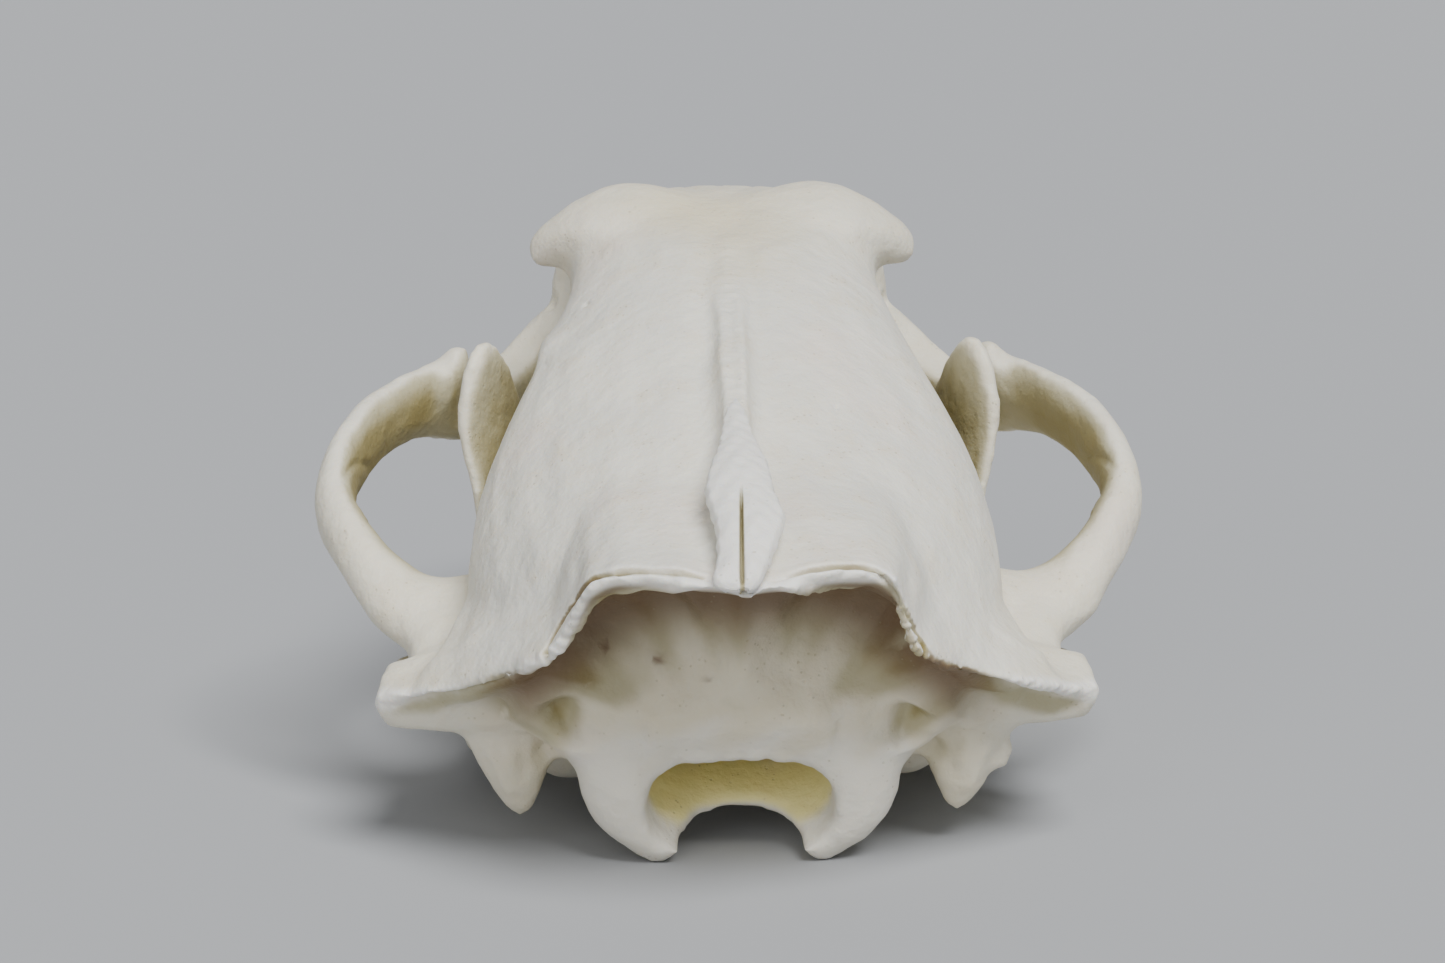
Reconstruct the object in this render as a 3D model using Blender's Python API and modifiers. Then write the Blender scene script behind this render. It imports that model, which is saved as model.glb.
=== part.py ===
"""A wolverine skull at life size, cranium and lower jaw closed, tipped back on its occipital condyles.

Places are given as (side, forward, up) in millimetres of a skull of the stated length: side from the
mid-plane, forward from the occipital condyles towards the snout, up from the condyles' lower tips, square
to the palate. The snout points along -Y. Everything hangs on one empty, which tips the skull back to rest.
"""

import math

import bmesh
import bpy
from mathutils import Matrix, Vector

# Driving dimensions, in metres and degrees
SKULL_LENGTH = 0.143  # condylobasal length
MM = SKULL_LENGTH / 143.0  # one millimetre on a skull of that length
REST_FLAT = 0.4  # how much the points that it rests on are flattened
GAP = 0.3  # between neighbouring nodes
JAW_CLEARANCE = 1.4  # between the lower jaw and the bone round it
TOOTH_CLEARANCE = 1.2

OBJECT_NAME = "wolverine_skull"
SIDES = ((1, "left"), (-1, "right"))

# Fineness of the solids
RING_SIDES = 28
BAR_SIDES = 14
CUSP_SIDES = 6
STEP = 3.0  # between the rings of a loft
VOXEL = 0.8
CRANIUM_TRIANGLES = 7600
JAW_TRIANGLES = 1500
SMOOTHING = 5

# Cranium: forward, half width, top, bottom, height of the widest line, squareness above and below it
CRANIUM = (
    (1.0, 24.5, 41.6, 9.0, 22.0, 2.0, 2.2),
    (8.0, 28.5, 42.6, 3.8, 20.5, 2.0, 2.2),
    (16.0, 30.8, 43.3, 2.5, 19.5, 2.0, 2.2),
    (26.0, 31.8, 43.9, 2.5, 20.5, 2.0, 2.2),
    (36.0, 31.0, 44.4, 3.0, 23.0, 2.0, 2.0),
    (46.0, 28.4, 44.9, 3.5, 26.0, 2.0, 1.8),
    (56.0, 25.0, 45.4, 4.0, 29.0, 2.0, 1.8),
    (66.0, 21.8, 45.2, 4.0, 31.5, 2.1, 1.8),
    (74.0, 20.0, 44.4, 3.0, 33.0, 2.2, 1.9),
    (82.0, 19.8, 43.4, 1.5, 32.5, 2.5, 2.2),
    (90.0, 20.2, 41.8, 0.0, 29.0, 2.6, 2.6),
    (98.0, 21.8, 38.6, 0.0, 23.0, 2.5, 3.0),
    (106.0, 22.6, 34.8, 0.0, 17.0, 2.4, 3.0),
    (113.0, 21.4, 31.4, 0.0, 12.0, 2.3, 3.0),
    (119.0, 19.8, 28.5, 0.0, 9.0, 2.2, 3.0),
    (124.0, 19.2, 26.0, 0.0, 8.0, 2.1, 3.0),
    (127.0, 18.6, 23.0, -0.3, 7.0, 2.1, 3.0),
    (131.5, 17.0, 16.0, -0.8, 5.0, 2.1, 3.0),
    (136.5, 14.0, 8.6, -1.5, 2.6, 2.0, 3.0),
    (140.8, 10.2, 3.6, -2.4, 0.2, 2.0, 3.0),
    (143.3, 6.0, 0.6, -2.8, -1.2, 2.0, 2.5),
)

# Floor of the cranium: forward, half width, top, bottom, height of the widest line
SKULL_FLOOR = (
    (-1.0, 10.5, 6.0, -0.6, 3.0),
    (4.0, 10.5, 8.0, -0.6, 4.0),
    (9.5, 10.5, 12.0, 0.6, 5.0),
    (14.0, 10.0, 12.0, 0.4, 5.0),
    (20.0, 9.0, 12.0, -0.3, 5.0),
    (34.0, 9.0, 12.0, 0.2, 5.0),
    (48.0, 10.0, 12.0, -1.2, 5.0),
    (58.0, 10.6, 12.0, -2.2, 5.0),
    (68.0, 12.0, 12.0, -2.4, 5.0),
    (78.0, 16.0, 10.0, -1.4, 4.0),
    (88.0, 16.0, 8.0, 0.6, 4.0),
)

# Sagittal crest: forward, half width of its flat top, top
CREST = (
    (60.0, 0.8, 45.6),
    (52.0, 1.3, 46.0),
    (42.0, 1.7, 46.2),
    (30.0, 1.8, 46.4),
    (21.0, 1.7, 46.8),
    (16.5, 2.0, 47.3),
    (10.5, 3.5, 47.8),
    (4.0, 4.5, 48.0),
    (-1.0, 4.5, 47.9),
    (-6.0, 3.9, 47.7),
    (-10.0, 2.9, 47.3),
    (-14.0, 1.8, 46.8),
    (-16.6, 0.9, 46.2),
)
CREST_PLATE = 2.2  # thickness of the flat top
CREST_WEB = 1.5  # half width of the wall under it
CREST_ROOT = 41.0

# Nuchal crest: side, then forward and up of its edge, of its roof's end on the braincase, and of its underside's root
NUCHAL = (
    (0.0, (-14.8, 46.0), (18.0, 42.8), (4.0, 35.5)),
    (8.0, (-12.6, 46.0), (20.0, 42.2), (4.0, 35.0)),
    (14.0, (-11.2, 45.3), (22.0, 40.6), (4.5, 33.0)),
    (17.2, (-10.6, 43.2), (23.0, 38.6), (5.0, 30.0)),
    (19.0, (-10.0, 39.0), (24.0, 36.5), (6.0, 28.0)),
    (21.8, (-8.6, 33.4), (24.0, 33.0), (7.0, 24.0)),
    (27.5, (-3.6, 27.4), (25.0, 28.0), (8.0, 19.0)),
    (32.5, (1.2, 22.6), (25.0, 22.5), (10.0, 15.0)),
    (37.5, (6.0, 19.0), (25.0, 17.5), (12.0, 12.5)),
    (42.6, (10.8, 15.8), (25.0, 14.0), (16.0, 12.2)),
)
NUCHAL_EDGE = 2.4  # thickness of the crest's free edge
NUCHAL_ROOT_SHARE = 0.88  # side of its underside's root, as a share of the side of its edge
NUCHAL_SUNK = 0.5  # how far its roof ends inside the braincase

# Bars: side, forward, up, half height, half thickness along the path
ARCH = (
    (22.0, 31.0, 14.0, 6.0, 9.0),
    (31.0, 31.4, 13.2, 4.6, 7.4),
    (38.0, 32.4, 13.4, 4.0, 6.0),
    (42.6, 36.4, 15.4, 3.6, 3.9),
    (46.2, 42.4, 16.7, 3.8, 3.1),
    (49.0, 50.2, 17.5, 4.4, 2.7),
    (48.6, 58.5, 18.4, 4.8, 2.5),
    (45.8, 67.0, 19.3, 4.6, 2.4),
    (40.8, 75.0, 18.6, 4.8, 2.4),
    (35.8, 82.0, 15.8, 6.0, 2.7),
    (32.2, 90.0, 11.6, 6.2, 3.0),
    (28.6, 97.0, 9.0, 5.8, 3.6),
    (23.4, 102.6, 9.6, 7.4, 4.4),
    (16.0, 105.0, 11.0, 9.0, 6.0),
)
JUGAL_HORN = ((35.8, 80.0, 17.0, 4.8, 2.4), (35.2, 80.6, 20.6, 3.8, 2.1), (34.4, 81.2, 23.8, 1.8, 1.3))
POSTORBITAL = (
    (4.0, 84.0, 39.0, 4.0, 8.0),
    (11.0, 84.5, 39.6, 4.2, 9.0),
    (15.6, 85.2, 39.2, 4.0, 8.0),
    (19.8, 85.8, 37.4, 3.3, 5.8),
    (22.7, 86.2, 35.6, 2.7, 4.0),
    (24.9, 86.0, 34.3, 1.5, 2.0),
)
TOOTH_RIDGE = (
    (21.0, 71.0, 2.5, 4.5, 5.5),
    (24.5, 77.0, 2.0, 5.0, 4.6),
    (26.2, 84.0, 2.0, 5.0, 4.2),
    (25.8, 92.0, 2.0, 5.0, 4.2),
    (23.2, 100.0, 2.0, 5.0, 4.2),
    (20.6, 108.0, 2.0, 5.0, 4.2),
    (18.6, 116.0, 2.0, 5.0, 4.4),
    (17.0, 124.0, 2.2, 5.2, 5.2),
    (15.8, 129.5, 2.2, 5.2, 5.0),
    (12.4, 135.5, 1.0, 4.2, 3.8),
    (8.2, 139.6, 0.0, 3.2, 3.0),
    (3.5, 141.6, -0.2, 3.0, 2.6),
    (0.0, 142.0, -0.2, 3.0, 2.4),
)
CANINE_SWELLING = ((16.2, 130.0, -2.0, 4.6, 5.6), (16.4, 126.0, 7.0, 4.2, 5.4), (15.0, 120.0, 15.0, 3.0, 4.0))
MASTOID = ((28.0, 13.5, 15.0, 4.0, 6.5), (35.0, 13.8, 14.2, 3.6, 6.0), (41.4, 14.0, 13.6, 2.8, 4.6))
MEATUS_SHELF = (
    (38.6, 12.0, 13.4, 2.6, 4.0),
    (34.8, 20.0, 13.2, 2.8, 4.2),
    (35.4, 27.0, 13.4, 3.2, 4.4),
    (40.0, 32.4, 13.6, 3.4, 3.6),
)
EXOCCIPITAL = (
    (0.0, 7.0, 19.0, 7.0, 4.5),
    (14.0, 8.5, 15.5, 6.5, 5.0),
    (25.0, 11.0, 14.0, 5.2, 4.6),
    (34.0, 13.0, 14.0, 3.4, 4.0),
)
PAROCCIPITAL = (
    (26.6, 11.6, 13.5, 3.8, 7.0),
    (26.2, 10.4, 9.0, 3.6, 5.4),
    (26.0, 9.2, 5.4, 3.0, 3.8),
    (25.6, 8.2, 2.4, 1.9, 2.2),
    (25.3, 7.8, 0.6, 1.0, 1.1),
)
EAR_TUBE = ((22.0, 24.5, 5.4, 4.4, 4.4), (32.0, 23.4, 6.8, 3.8, 4.0), (41.0, 21.8, 8.0, 3.3, 3.8))
EAR_HOLE = ((30.0, 23.6, 6.7, 2.0, 2.0), (44.5, 21.1, 8.5, 2.1, 2.5))
CONDYLE = (
    (8.8, 1.2, -1.3, 1.5, 1.4),
    (10.3, 1.8, 1.6, 2.9, 3.1),
    (12.8, 3.0, 5.6, 4.2, 5.0),
    (13.6, 4.6, 10.0, 5.0, 5.4),
    (13.2, 7.0, 14.4, 4.6, 5.0),
    (11.6, 9.0, 17.5, 3.2, 4.0),
)
POSTGLENOID = ((21.5, 27.6, 6.5, 6.0, 2.4), (30.0, 27.4, 7.0, 6.0, 2.2), (38.0, 28.2, 9.0, 3.4, 2.0))
HAMULUS = ((8.6, 62.0, 3.0, 1.6, 3.4), (8.4, 57.0, -2.0, 1.4, 2.4), (8.0, 53.0, -5.5, 1.0, 1.2))
BULLA = ((19.4, 27.0, 3.6), (8.6, 12.0, 7.6))  # centre and radii

# Hollows of the cranium
BRAIN_HOLE = (
    (0.0, -9.0, 5.7, 5.1, 11.2),
    (0.0, 1.0, 6.2, 5.6, 10.9),
    (0.0, 6.0, 7.6, 5.8, 10.7),
    (0.0, 10.0, 9.0, 6.2, 10.6),
    (0.0, 14.0, 10.0, 6.4, 10.4),
    (0.0, 22.0, 12.0, 8.0, 11.5),
    (0.0, 31.0, 14.0, 4.0, 6.0),
)
CONDYLE_NOTCH = ((0.0, 1.0, -8.0, 7.4, 7.2), (0.0, 1.0, 3.0, 7.4, 7.2))
OCCIPITAL_HOLLOW = ((11.0, -4.6, 26.5), (13.0, 9.0, 10.0))
ORBIT = ((29.5, 94.5, 25.0), (13.0, 12.6, 12.4))
CHEEK_HOLLOW = ((27.0, 70.0, 17.0), (10.0, 13.0, 13.0))
NOSE_HOLE = (
    (0.0, 82.0, 26.0, 5.0, 6.0),
    (0.0, 88.0, 24.0, 11.0, 10.0),
    (0.0, 98.0, 19.6, 14.2, 12.4),
    (0.0, 110.0, 17.0, 12.6, 13.4),
    (0.0, 119.0, 15.6, 10.8, 12.0),
    (0.0, 127.0, 14.6, 9.6, 9.8),
    (0.0, 134.0, 13.8, 9.4, 8.6),
    (0.0, 148.0, 13.2, 9.2, 7.6),
)
CHEEK_HOLE = ((25.6, 116.0, 8.5, 3.4, 2.4), (23.6, 106.0, 11.4, 3.2, 2.5), (20.8, 96.0, 12.5, 2.8, 2.4))
THROAT = (
    (0.0, 36.0, -2.5, 2.6, 4.0),
    (0.0, 48.0, -2.0, 5.5, 5.4),
    (0.0, 60.0, -1.0, 6.5, 5.4),
    (0.0, 72.0, 2.0, 3.4, 5.0),
)

# Lower jaw: the body as a bar, the upright ramus as level slices, and the joint's condyle
JAW_BODY = (
    (28.8, 57.0, -14.0, 5.6, 3.2),
    (26.4, 68.0, -17.0, 7.8, 4.2),
    (23.0, 78.0, -17.8, 8.2, 4.9),
    (20.2, 88.0, -17.8, 8.2, 5.2),
    (17.5, 98.0, -17.4, 7.8, 5.1),
    (15.0, 108.0, -16.9, 7.4, 5.1),
    (12.2, 118.0, -16.5, 6.8, 5.2),
    (9.0, 126.0, -15.4, 6.0, 5.2),
    (7.0, 132.0, -13.6, 4.6, 5.6),
    (5.0, 137.0, -11.8, 2.8, 4.2),
)
CHIN = (
    (4.0, 113.0, -18.0, 2.6, 3.0),
    (4.4, 120.0, -16.8, 4.6, 5.6),
    (4.2, 128.0, -14.8, 4.8, 5.4),
    (3.6, 134.5, -12.6, 3.0, 4.4),
)
RAMUS = (  # up, side, forward, half length, half thickness, turn outwards towards the back in degrees
    (-20.6, 28.0, 62.0, 4.0, 2.0, 8.0),
    (-18.0, 28.4, 59.6, 9.0, 3.0, 8.0),
    (-14.0, 28.8, 57.0, 13.5, 3.2, 9.0),
    (-9.5, 29.2, 53.0, 18.0, 3.0, 9.0),
    (-5.0, 29.4, 52.5, 19.0, 2.5, 9.0),
    (0.0, 29.4, 52.8, 18.2, 2.2, 9.0),
    (6.0, 29.4, 52.6, 17.6, 2.1, 9.0),
    (11.0, 28.5, 54.4, 14.6, 2.0, 10.0),
    (16.0, 28.1, 56.2, 12.0, 1.8, 12.0),
    (21.0, 28.5, 57.0, 10.2, 1.7, 16.0),
    (26.0, 29.8, 57.4, 8.5, 1.6, 22.0),
    (31.0, 30.4, 57.4, 6.6, 1.5, 25.0),
    (35.0, 30.6, 57.4, 4.0, 1.3, 25.0),
    (36.8, 30.6, 57.4, 1.6, 0.9, 25.0),
)
JAW_CONDYLE = (
    (22.4, 33.8, 4.4, 2.2, 2.4),
    (27.0, 33.6, 4.2, 3.4, 3.6),
    (34.0, 33.2, 4.0, 3.4, 3.6),
    (41.6, 32.6, 4.4, 2.2, 2.4),
)
ANGLE = ((30.2, 42.0, -5.0, 3.2, 2.6), (30.4, 36.0, -6.4, 2.4, 2.2), (30.2, 32.6, -7.6, 1.2, 1.3))
CHEWING_HOLLOW = ((33.4, 60.0, 1.0), (3.4, 11.0, 12.0))

# Teeth: side, forward, half length, half width, height of each cusp, and the turn of the tooth in degrees
UPPER_GUM = -2.6
UPPER_TEETH = {
    "incisor_1": ((1.9, 141.4, 2.0, 1.6, 5.0, 0.0),),
    "incisor_2": ((5.2, 141.0, 2.1, 1.7, 5.4, 8.0),),
    "incisor_3": ((8.8, 139.8, 2.7, 2.3, 8.6, 20.0),),
    "premolar_1": ((17.6, 120.4, 2.2, 1.7, 3.0, 10.0),),
    "premolar_2": ((18.6, 114.8, 3.9, 2.2, 5.2, 14.0),),
    "premolar_3": ((21.3, 106.2, 4.6, 2.7, 6.6, 16.0), (22.5, 102.4, 2.2, 2.3, 3.4, 16.0)),
    "carnassial": (
        (24.9, 93.2, 6.0, 3.6, 9.0, 14.0),
        (26.9, 84.6, 5.4, 3.0, 6.6, 10.0),
        (20.4, 97.6, 2.8, 2.8, 3.6, 0.0),
    ),
    "molar": (
        (25.4, 76.4, 3.6, 3.0, 3.8, 0.0),
        (20.8, 76.0, 3.0, 3.4, 2.8, 0.0),
        (16.6, 75.6, 3.8, 3.0, 3.6, 0.0),
    ),
}
LOWER_GUM = -9.8
LOWER_TEETH = {
    "incisor_1": ((1.7, 137.2, 1.4, 1.1, 4.4, 0.0),),
    "incisor_2": ((4.0, 136.6, 1.6, 1.2, 4.6, 0.0),),
    "incisor_3": ((6.5, 136.4, 1.6, 1.4, 4.6, 10.0),),
    "premolar_1": ((11.0, 125.8, 1.7, 1.4, 2.6, 10.0),),
    "premolar_2": ((12.0, 120.4, 3.4, 2.0, 4.6, 14.0),),
    "premolar_3": ((13.8, 112.6, 4.2, 2.4, 6.0, 16.0),),
    "premolar_4": ((15.4, 103.2, 5.0, 2.6, 6.4, 16.0), (16.8, 98.8, 2.0, 2.2, 3.6, 16.0)),
    "carnassial": (
        (17.7, 92.2, 4.4, 2.7, 6.8, 14.0),
        (19.0, 85.8, 4.8, 2.9, 7.6, 12.0),
        (21.2, 78.6, 4.6, 2.8, 2.2, 10.0),
    ),
    "molar_2": ((22.8, 71.9, 2.2, 2.1, 1.6, 0.0),),
}
UPPER_CANINE = (
    (16.6, 127.2, 2.5, 5.0, 4.0),
    (16.8, 127.4, -3.0, 5.0, 4.0),
    (17.9, 127.6, -9.0, 4.2, 3.3),
    (18.6, 127.2, -14.0, 3.0, 2.4),
    (19.0, 126.2, -18.0, 1.7, 1.4),
    (19.1, 125.4, -20.4, 0.5, 0.5),
)
LOWER_CANINE = (
    (9.6, 131.0, -13.5, 4.2, 3.2),
    (10.3, 132.3, -9.5, 4.4, 3.4),
    (11.8, 134.0, -5.0, 3.2, 2.6),
    (13.0, 135.0, -1.4, 2.3, 2.0),
    (13.9, 135.4, 0.4, 1.3, 1.2),
    (14.3, 135.5, 1.8, 0.5, 0.5),
)

# Regions that are parted from the cranium as blocks: lowest and highest side, forward and up, the turn of the
# block's inner side towards the snout, and its slope along the skull, both in degrees
CREST_REGION = ((-5.6, -30.0, 41.3), (5.6, 58.0, 60.0), 0.0, 3.2)
ARCH_REGION = ((36.0, 26.6, -20.0), (70.0, 90.0, 50.0), 3.4, 0.0)
BULLA_REGION = ((10.4, 13.5, -20.0), (30.5, 38.6, 2.6), 0.0, 0.0)
OCCIPUT_FRONT = 15.0  # the planes that part the occiput from the braincase, and the face from it
FACE_BACK = 71.0
FAR = 250.0  # beyond every part of the skull

# Colours of the bleached bone, and its finish
BRAINCASE_BONE = (0.80, 0.77, 0.70, 1.0)
CREST_BONE = (0.86, 0.85, 0.81, 1.0)
OCCIPUT_BONE = (0.70, 0.65, 0.54, 1.0)
ARCH_BONE = (0.78, 0.74, 0.62, 1.0)
FACE_BONE = (0.80, 0.76, 0.68, 1.0)
JAW_BONE = (0.82, 0.79, 0.70, 1.0)
BONE_ROUGHNESS = 0.55
SHARP_ANGLE = math.radians(40.0)


def at(side, forward, up):
    """A point of the skull, in metres."""
    return Vector((side, -forward, up)) * MM


def link(name, mesh):
    obj = bpy.data.objects.new(name, mesh)
    bpy.data.collections[OBJECT_NAME].objects.link(obj)
    return obj


def eased(table, step=STEP):
    """The rows of a table with smooth rows put between them, about a step apart."""
    rows = []
    for i in range(len(table) - 1):
        before, start = table[max(i - 1, 0)], table[i]
        end, after = table[i + 1], table[min(i + 2, len(table) - 1)]
        span = math.dist(start[:3], end[:3])
        count = max(1, round(span / step))
        for k in range(count):
            t = k / count
            rows.append([
                0.5 * (2 * b + (c - a) * t + (2 * a - 5 * b + 4 * c - d) * t * t + (3 * b - a - 3 * c + d) * t**3)
                for a, b, c, d in zip(before, start, end, after)
            ])
    return rows + [list(table[-1])]


def loft(name, rings):
    """A closed solid through rings of as many points each, with a flat face on each end."""
    shape = bmesh.new()
    loops = [[shape.verts.new(point) for point in ring] for ring in rings]
    for near, far in zip(loops, loops[1:]):
        for i in range(len(near)):
            j = (i + 1) % len(near)
            shape.faces.new((near[i], near[j], far[j], far[i]))
    shape.faces.new(loops[0])
    shape.faces.new(loops[-1])
    shape.normal_update()
    bmesh.ops.recalc_face_normals(shape, faces=shape.faces)
    mesh = bpy.data.meshes.new(name)
    shape.to_mesh(mesh)
    shape.free()
    return link(name, mesh)


def rounded(angle, squareness):
    """Cosine and sine of an angle on a circle that is squared off."""
    c, s = math.cos(angle), math.sin(angle)
    power = 2.0 / squareness
    return math.copysign(abs(c) ** power, c), math.copysign(abs(s) ** power, s)


def cross_section(forward, half_width, top, bottom, widest, above=2.0, below=2.0):
    """A ring across the skull, symmetric about its mid-plane."""
    ring = []
    for i in range(RING_SIDES):
        angle = 2 * math.pi * i / RING_SIDES
        upper = i <= RING_SIDES // 2
        c, s = rounded(angle, above if upper else below)
        reach = top - widest if upper else widest - bottom
        ring.append(at(half_width * c, forward, widest + reach * s))
    return ring


def bar(name, table, side=1, grow=0.0, sides=BAR_SIDES, squareness=2.0, upright=(0, 0, 1), step=STEP):
    """A round or oval bar along a path: each row is side, forward, up, half height, half thickness."""
    rows = eased(table, step)
    points = [at(side * row[0], row[1], row[2]) for row in rows]
    points[0] += (points[0] - points[1]).normalized() * grow * MM
    points[-1] += (points[-1] - points[-2]).normalized() * grow * MM
    rings = []
    for i, row in enumerate(rows):
        along = (points[min(i + 1, len(rows) - 1)] - points[max(i - 1, 0)]).normalized()
        up = Vector(upright)
        up = (up - along * up.dot(along)).normalized()
        across = along.cross(up)
        ring = []
        for k in range(sides):
            c, s = rounded(2 * math.pi * k / sides, squareness)
            ring.append(points[i] + (up * s * (row[3] + grow) + across * c * (row[4] + grow)) * MM)
        rings.append(ring)
    return loft(name, rings)


def ball(name, centre, radii, side=1):
    """An ellipsoid."""
    shape = bmesh.new()
    bmesh.ops.create_uvsphere(shape, u_segments=24, v_segments=14, radius=1.0)
    for vert in shape.verts:
        vert.co = Vector(vert.co[i] * radii[i] * MM for i in range(3)) + at(side * centre[0], *centre[1:])
    mesh = bpy.data.meshes.new(name)
    shape.to_mesh(mesh)
    shape.free()
    return link(name, mesh)


def slices(name, table, side=1, grow=0.0):
    """A thin upright plate through level slices: up, side, forward, half length, half thickness, turn."""
    rings = []
    for up, out, forward, half_length, half_thickness, turn in eased(table):
        a = math.radians(turn)
        ring = []
        for k in range(BAR_SIDES):
            c, s = rounded(2 * math.pi * k / BAR_SIDES, 2.4)
            length, thickness = c * (half_length + grow), s * (half_thickness + grow)
            ring.append(at(
                side * (out - length * math.sin(a) + thickness * math.cos(a)),
                forward + length * math.cos(a) + thickness * math.sin(a),
                up,
            ))
        rings.append(ring)
    return loft(name, rings)


def baked(obj):
    """The object with its modifiers made part of its mesh."""
    graph = bpy.context.evaluated_depsgraph_get()
    mesh = bpy.data.meshes.new_from_object(obj.evaluated_get(graph))
    obj.modifiers.clear()
    obj.data = mesh
    return obj


def boolean(obj, others, operation, solver="EXACT"):
    """Joins or cuts an object with others, which are then removed."""
    group = bpy.data.collections.new("cutters")
    bpy.context.scene.collection.children.link(group)
    for other in others:
        group.objects.link(other)
    modifier = obj.modifiers.new(operation.lower(), "BOOLEAN")
    modifier.operation = operation
    modifier.operand_type = "COLLECTION"
    modifier.collection = group
    modifier.solver = solver
    bpy.context.view_layer.update()
    baked(obj)
    for other in others:
        bpy.data.objects.remove(other)
    bpy.data.collections.remove(group)
    return obj


def grown_together(obj, triangles):
    """Rounds the joints between an object's pieces as bone does, and thins its mesh to about so many triangles."""
    remesh = obj.modifiers.new("grown", "REMESH")
    remesh.mode = "VOXEL"
    remesh.voxel_size = VOXEL * MM
    smooth = obj.modifiers.new("smoothed", "SMOOTH")
    smooth.iterations = SMOOTHING
    baked(obj)
    keep_largest(obj)
    faces = sum(len(face.vertices) - 2 for face in obj.data.polygons)
    thin = obj.modifiers.new("thinned", "DECIMATE")
    thin.ratio = triangles / faces
    thin.use_collapse_triangulate = True
    return baked(obj)


def islands(shape):
    """The separate surfaces of a bmesh, each as a set of faces."""
    left, found = set(shape.faces), []
    while left:
        island, edge = set(), [left.pop()]
        while edge:
            face = edge.pop()
            island.add(face)
            for near in {f for e in face.edges for f in e.link_faces} & left:
                left.discard(near)
                edge.append(near)
        found.append(island)
    return found


def keep_largest(obj):
    """Leaves an object only its largest closed surface."""
    shape = bmesh.new()
    shape.from_mesh(obj.data)
    found = sorted(islands(shape), key=lambda island: sum(face.calc_area() for face in island))
    scraps = [vert for island in found[:-1] for face in island for vert in face.verts]
    bmesh.ops.delete(shape, geom=list(set(scraps)), context="VERTS")
    shape.to_mesh(obj.data)
    shape.free()


def block(name, low, high, turn=0.0, slope=0.0, side=1, grow=0.0):
    """A box between two corners, turned about its rear inner lower corner."""
    sizes = [high[i] - low[i] + 2 * grow for i in range(3)]
    shape = bmesh.new()
    bmesh.ops.create_cube(shape, size=1.0)
    for vert in shape.verts:
        vert.co = Vector((vert.co[i] + 0.5) * sizes[i] - grow for i in range(3))
    turned = Matrix.Rotation(math.radians(turn), 4, "Z") @ Matrix.Rotation(math.radians(slope), 4, "X")
    bmesh.ops.transform(shape, matrix=Matrix.Translation(low) @ turned, verts=shape.verts)
    for vert in shape.verts:
        vert.co = at(side * vert.co.x, vert.co.y, vert.co.z)
    shape.normal_update()
    bmesh.ops.recalc_face_normals(shape, faces=shape.faces)
    mesh = bpy.data.meshes.new(name)
    shape.to_mesh(mesh)
    shape.free()
    return link(name, mesh)


def parted(obj, name, low, high, turn=0.0, slope=0.0, side=1):
    """Parts what lies in a block from an object, with the gap between nodes, and returns it as a new object."""
    piece = link(name, obj.data.copy())
    boolean(piece, [block("inside", low, high, turn, slope, side, -GAP / 2)], "INTERSECT", "MANIFOLD")
    boolean(obj, [block("outside", low, high, turn, slope, side, GAP / 2)], "DIFFERENCE", "MANIFOLD")
    keep_largest(piece)
    keep_largest(obj)
    return piece


def cusp(name, side, gum, tip, row):
    """One cusp of a tooth, rooted in the jaw. The tip is 1 for a lower tooth and -1 for an upper one."""
    out, forward, half_length, half_width, height, turn = row
    a = math.radians(turn)
    rings = []
    for rise, share in ((-2.5, 0.88), (0.3 * height, 1.0), (0.72 * height, 0.58), (height, 0.12)):
        ring = []
        for k in range(CUSP_SIDES):
            angle = 2 * math.pi * k / CUSP_SIDES
            length, width = math.cos(angle) * half_length * share, math.sin(angle) * half_width * share
            ring.append(at(
                side * (out - length * math.sin(a) + width * math.cos(a)),
                forward + length * math.cos(a) + width * math.sin(a),
                gum + tip * rise,
            ))
        rings.append(ring)
    return loft(name, rings)


def teeth(name, table, canine, gum, tip, side):
    """Every tooth of one side of one jaw."""
    made = [cusp(name, side, gum, tip, row) for rows in table.values() for row in rows]
    made.append(bar(name, canine, side, sides=8, upright=(0, 1, 0), step=5.0))
    return made


def jaw_ramus(side, grow=0.0):
    """The upright rear part of a lower jaw, with its coronoid process, angle and joint."""
    return [
        slices("ramus", RAMUS, side, grow),
        bar("jaw_condyle", JAW_CONDYLE, side, grow),
        bar("angle", ANGLE, side, grow),
    ]


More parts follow.
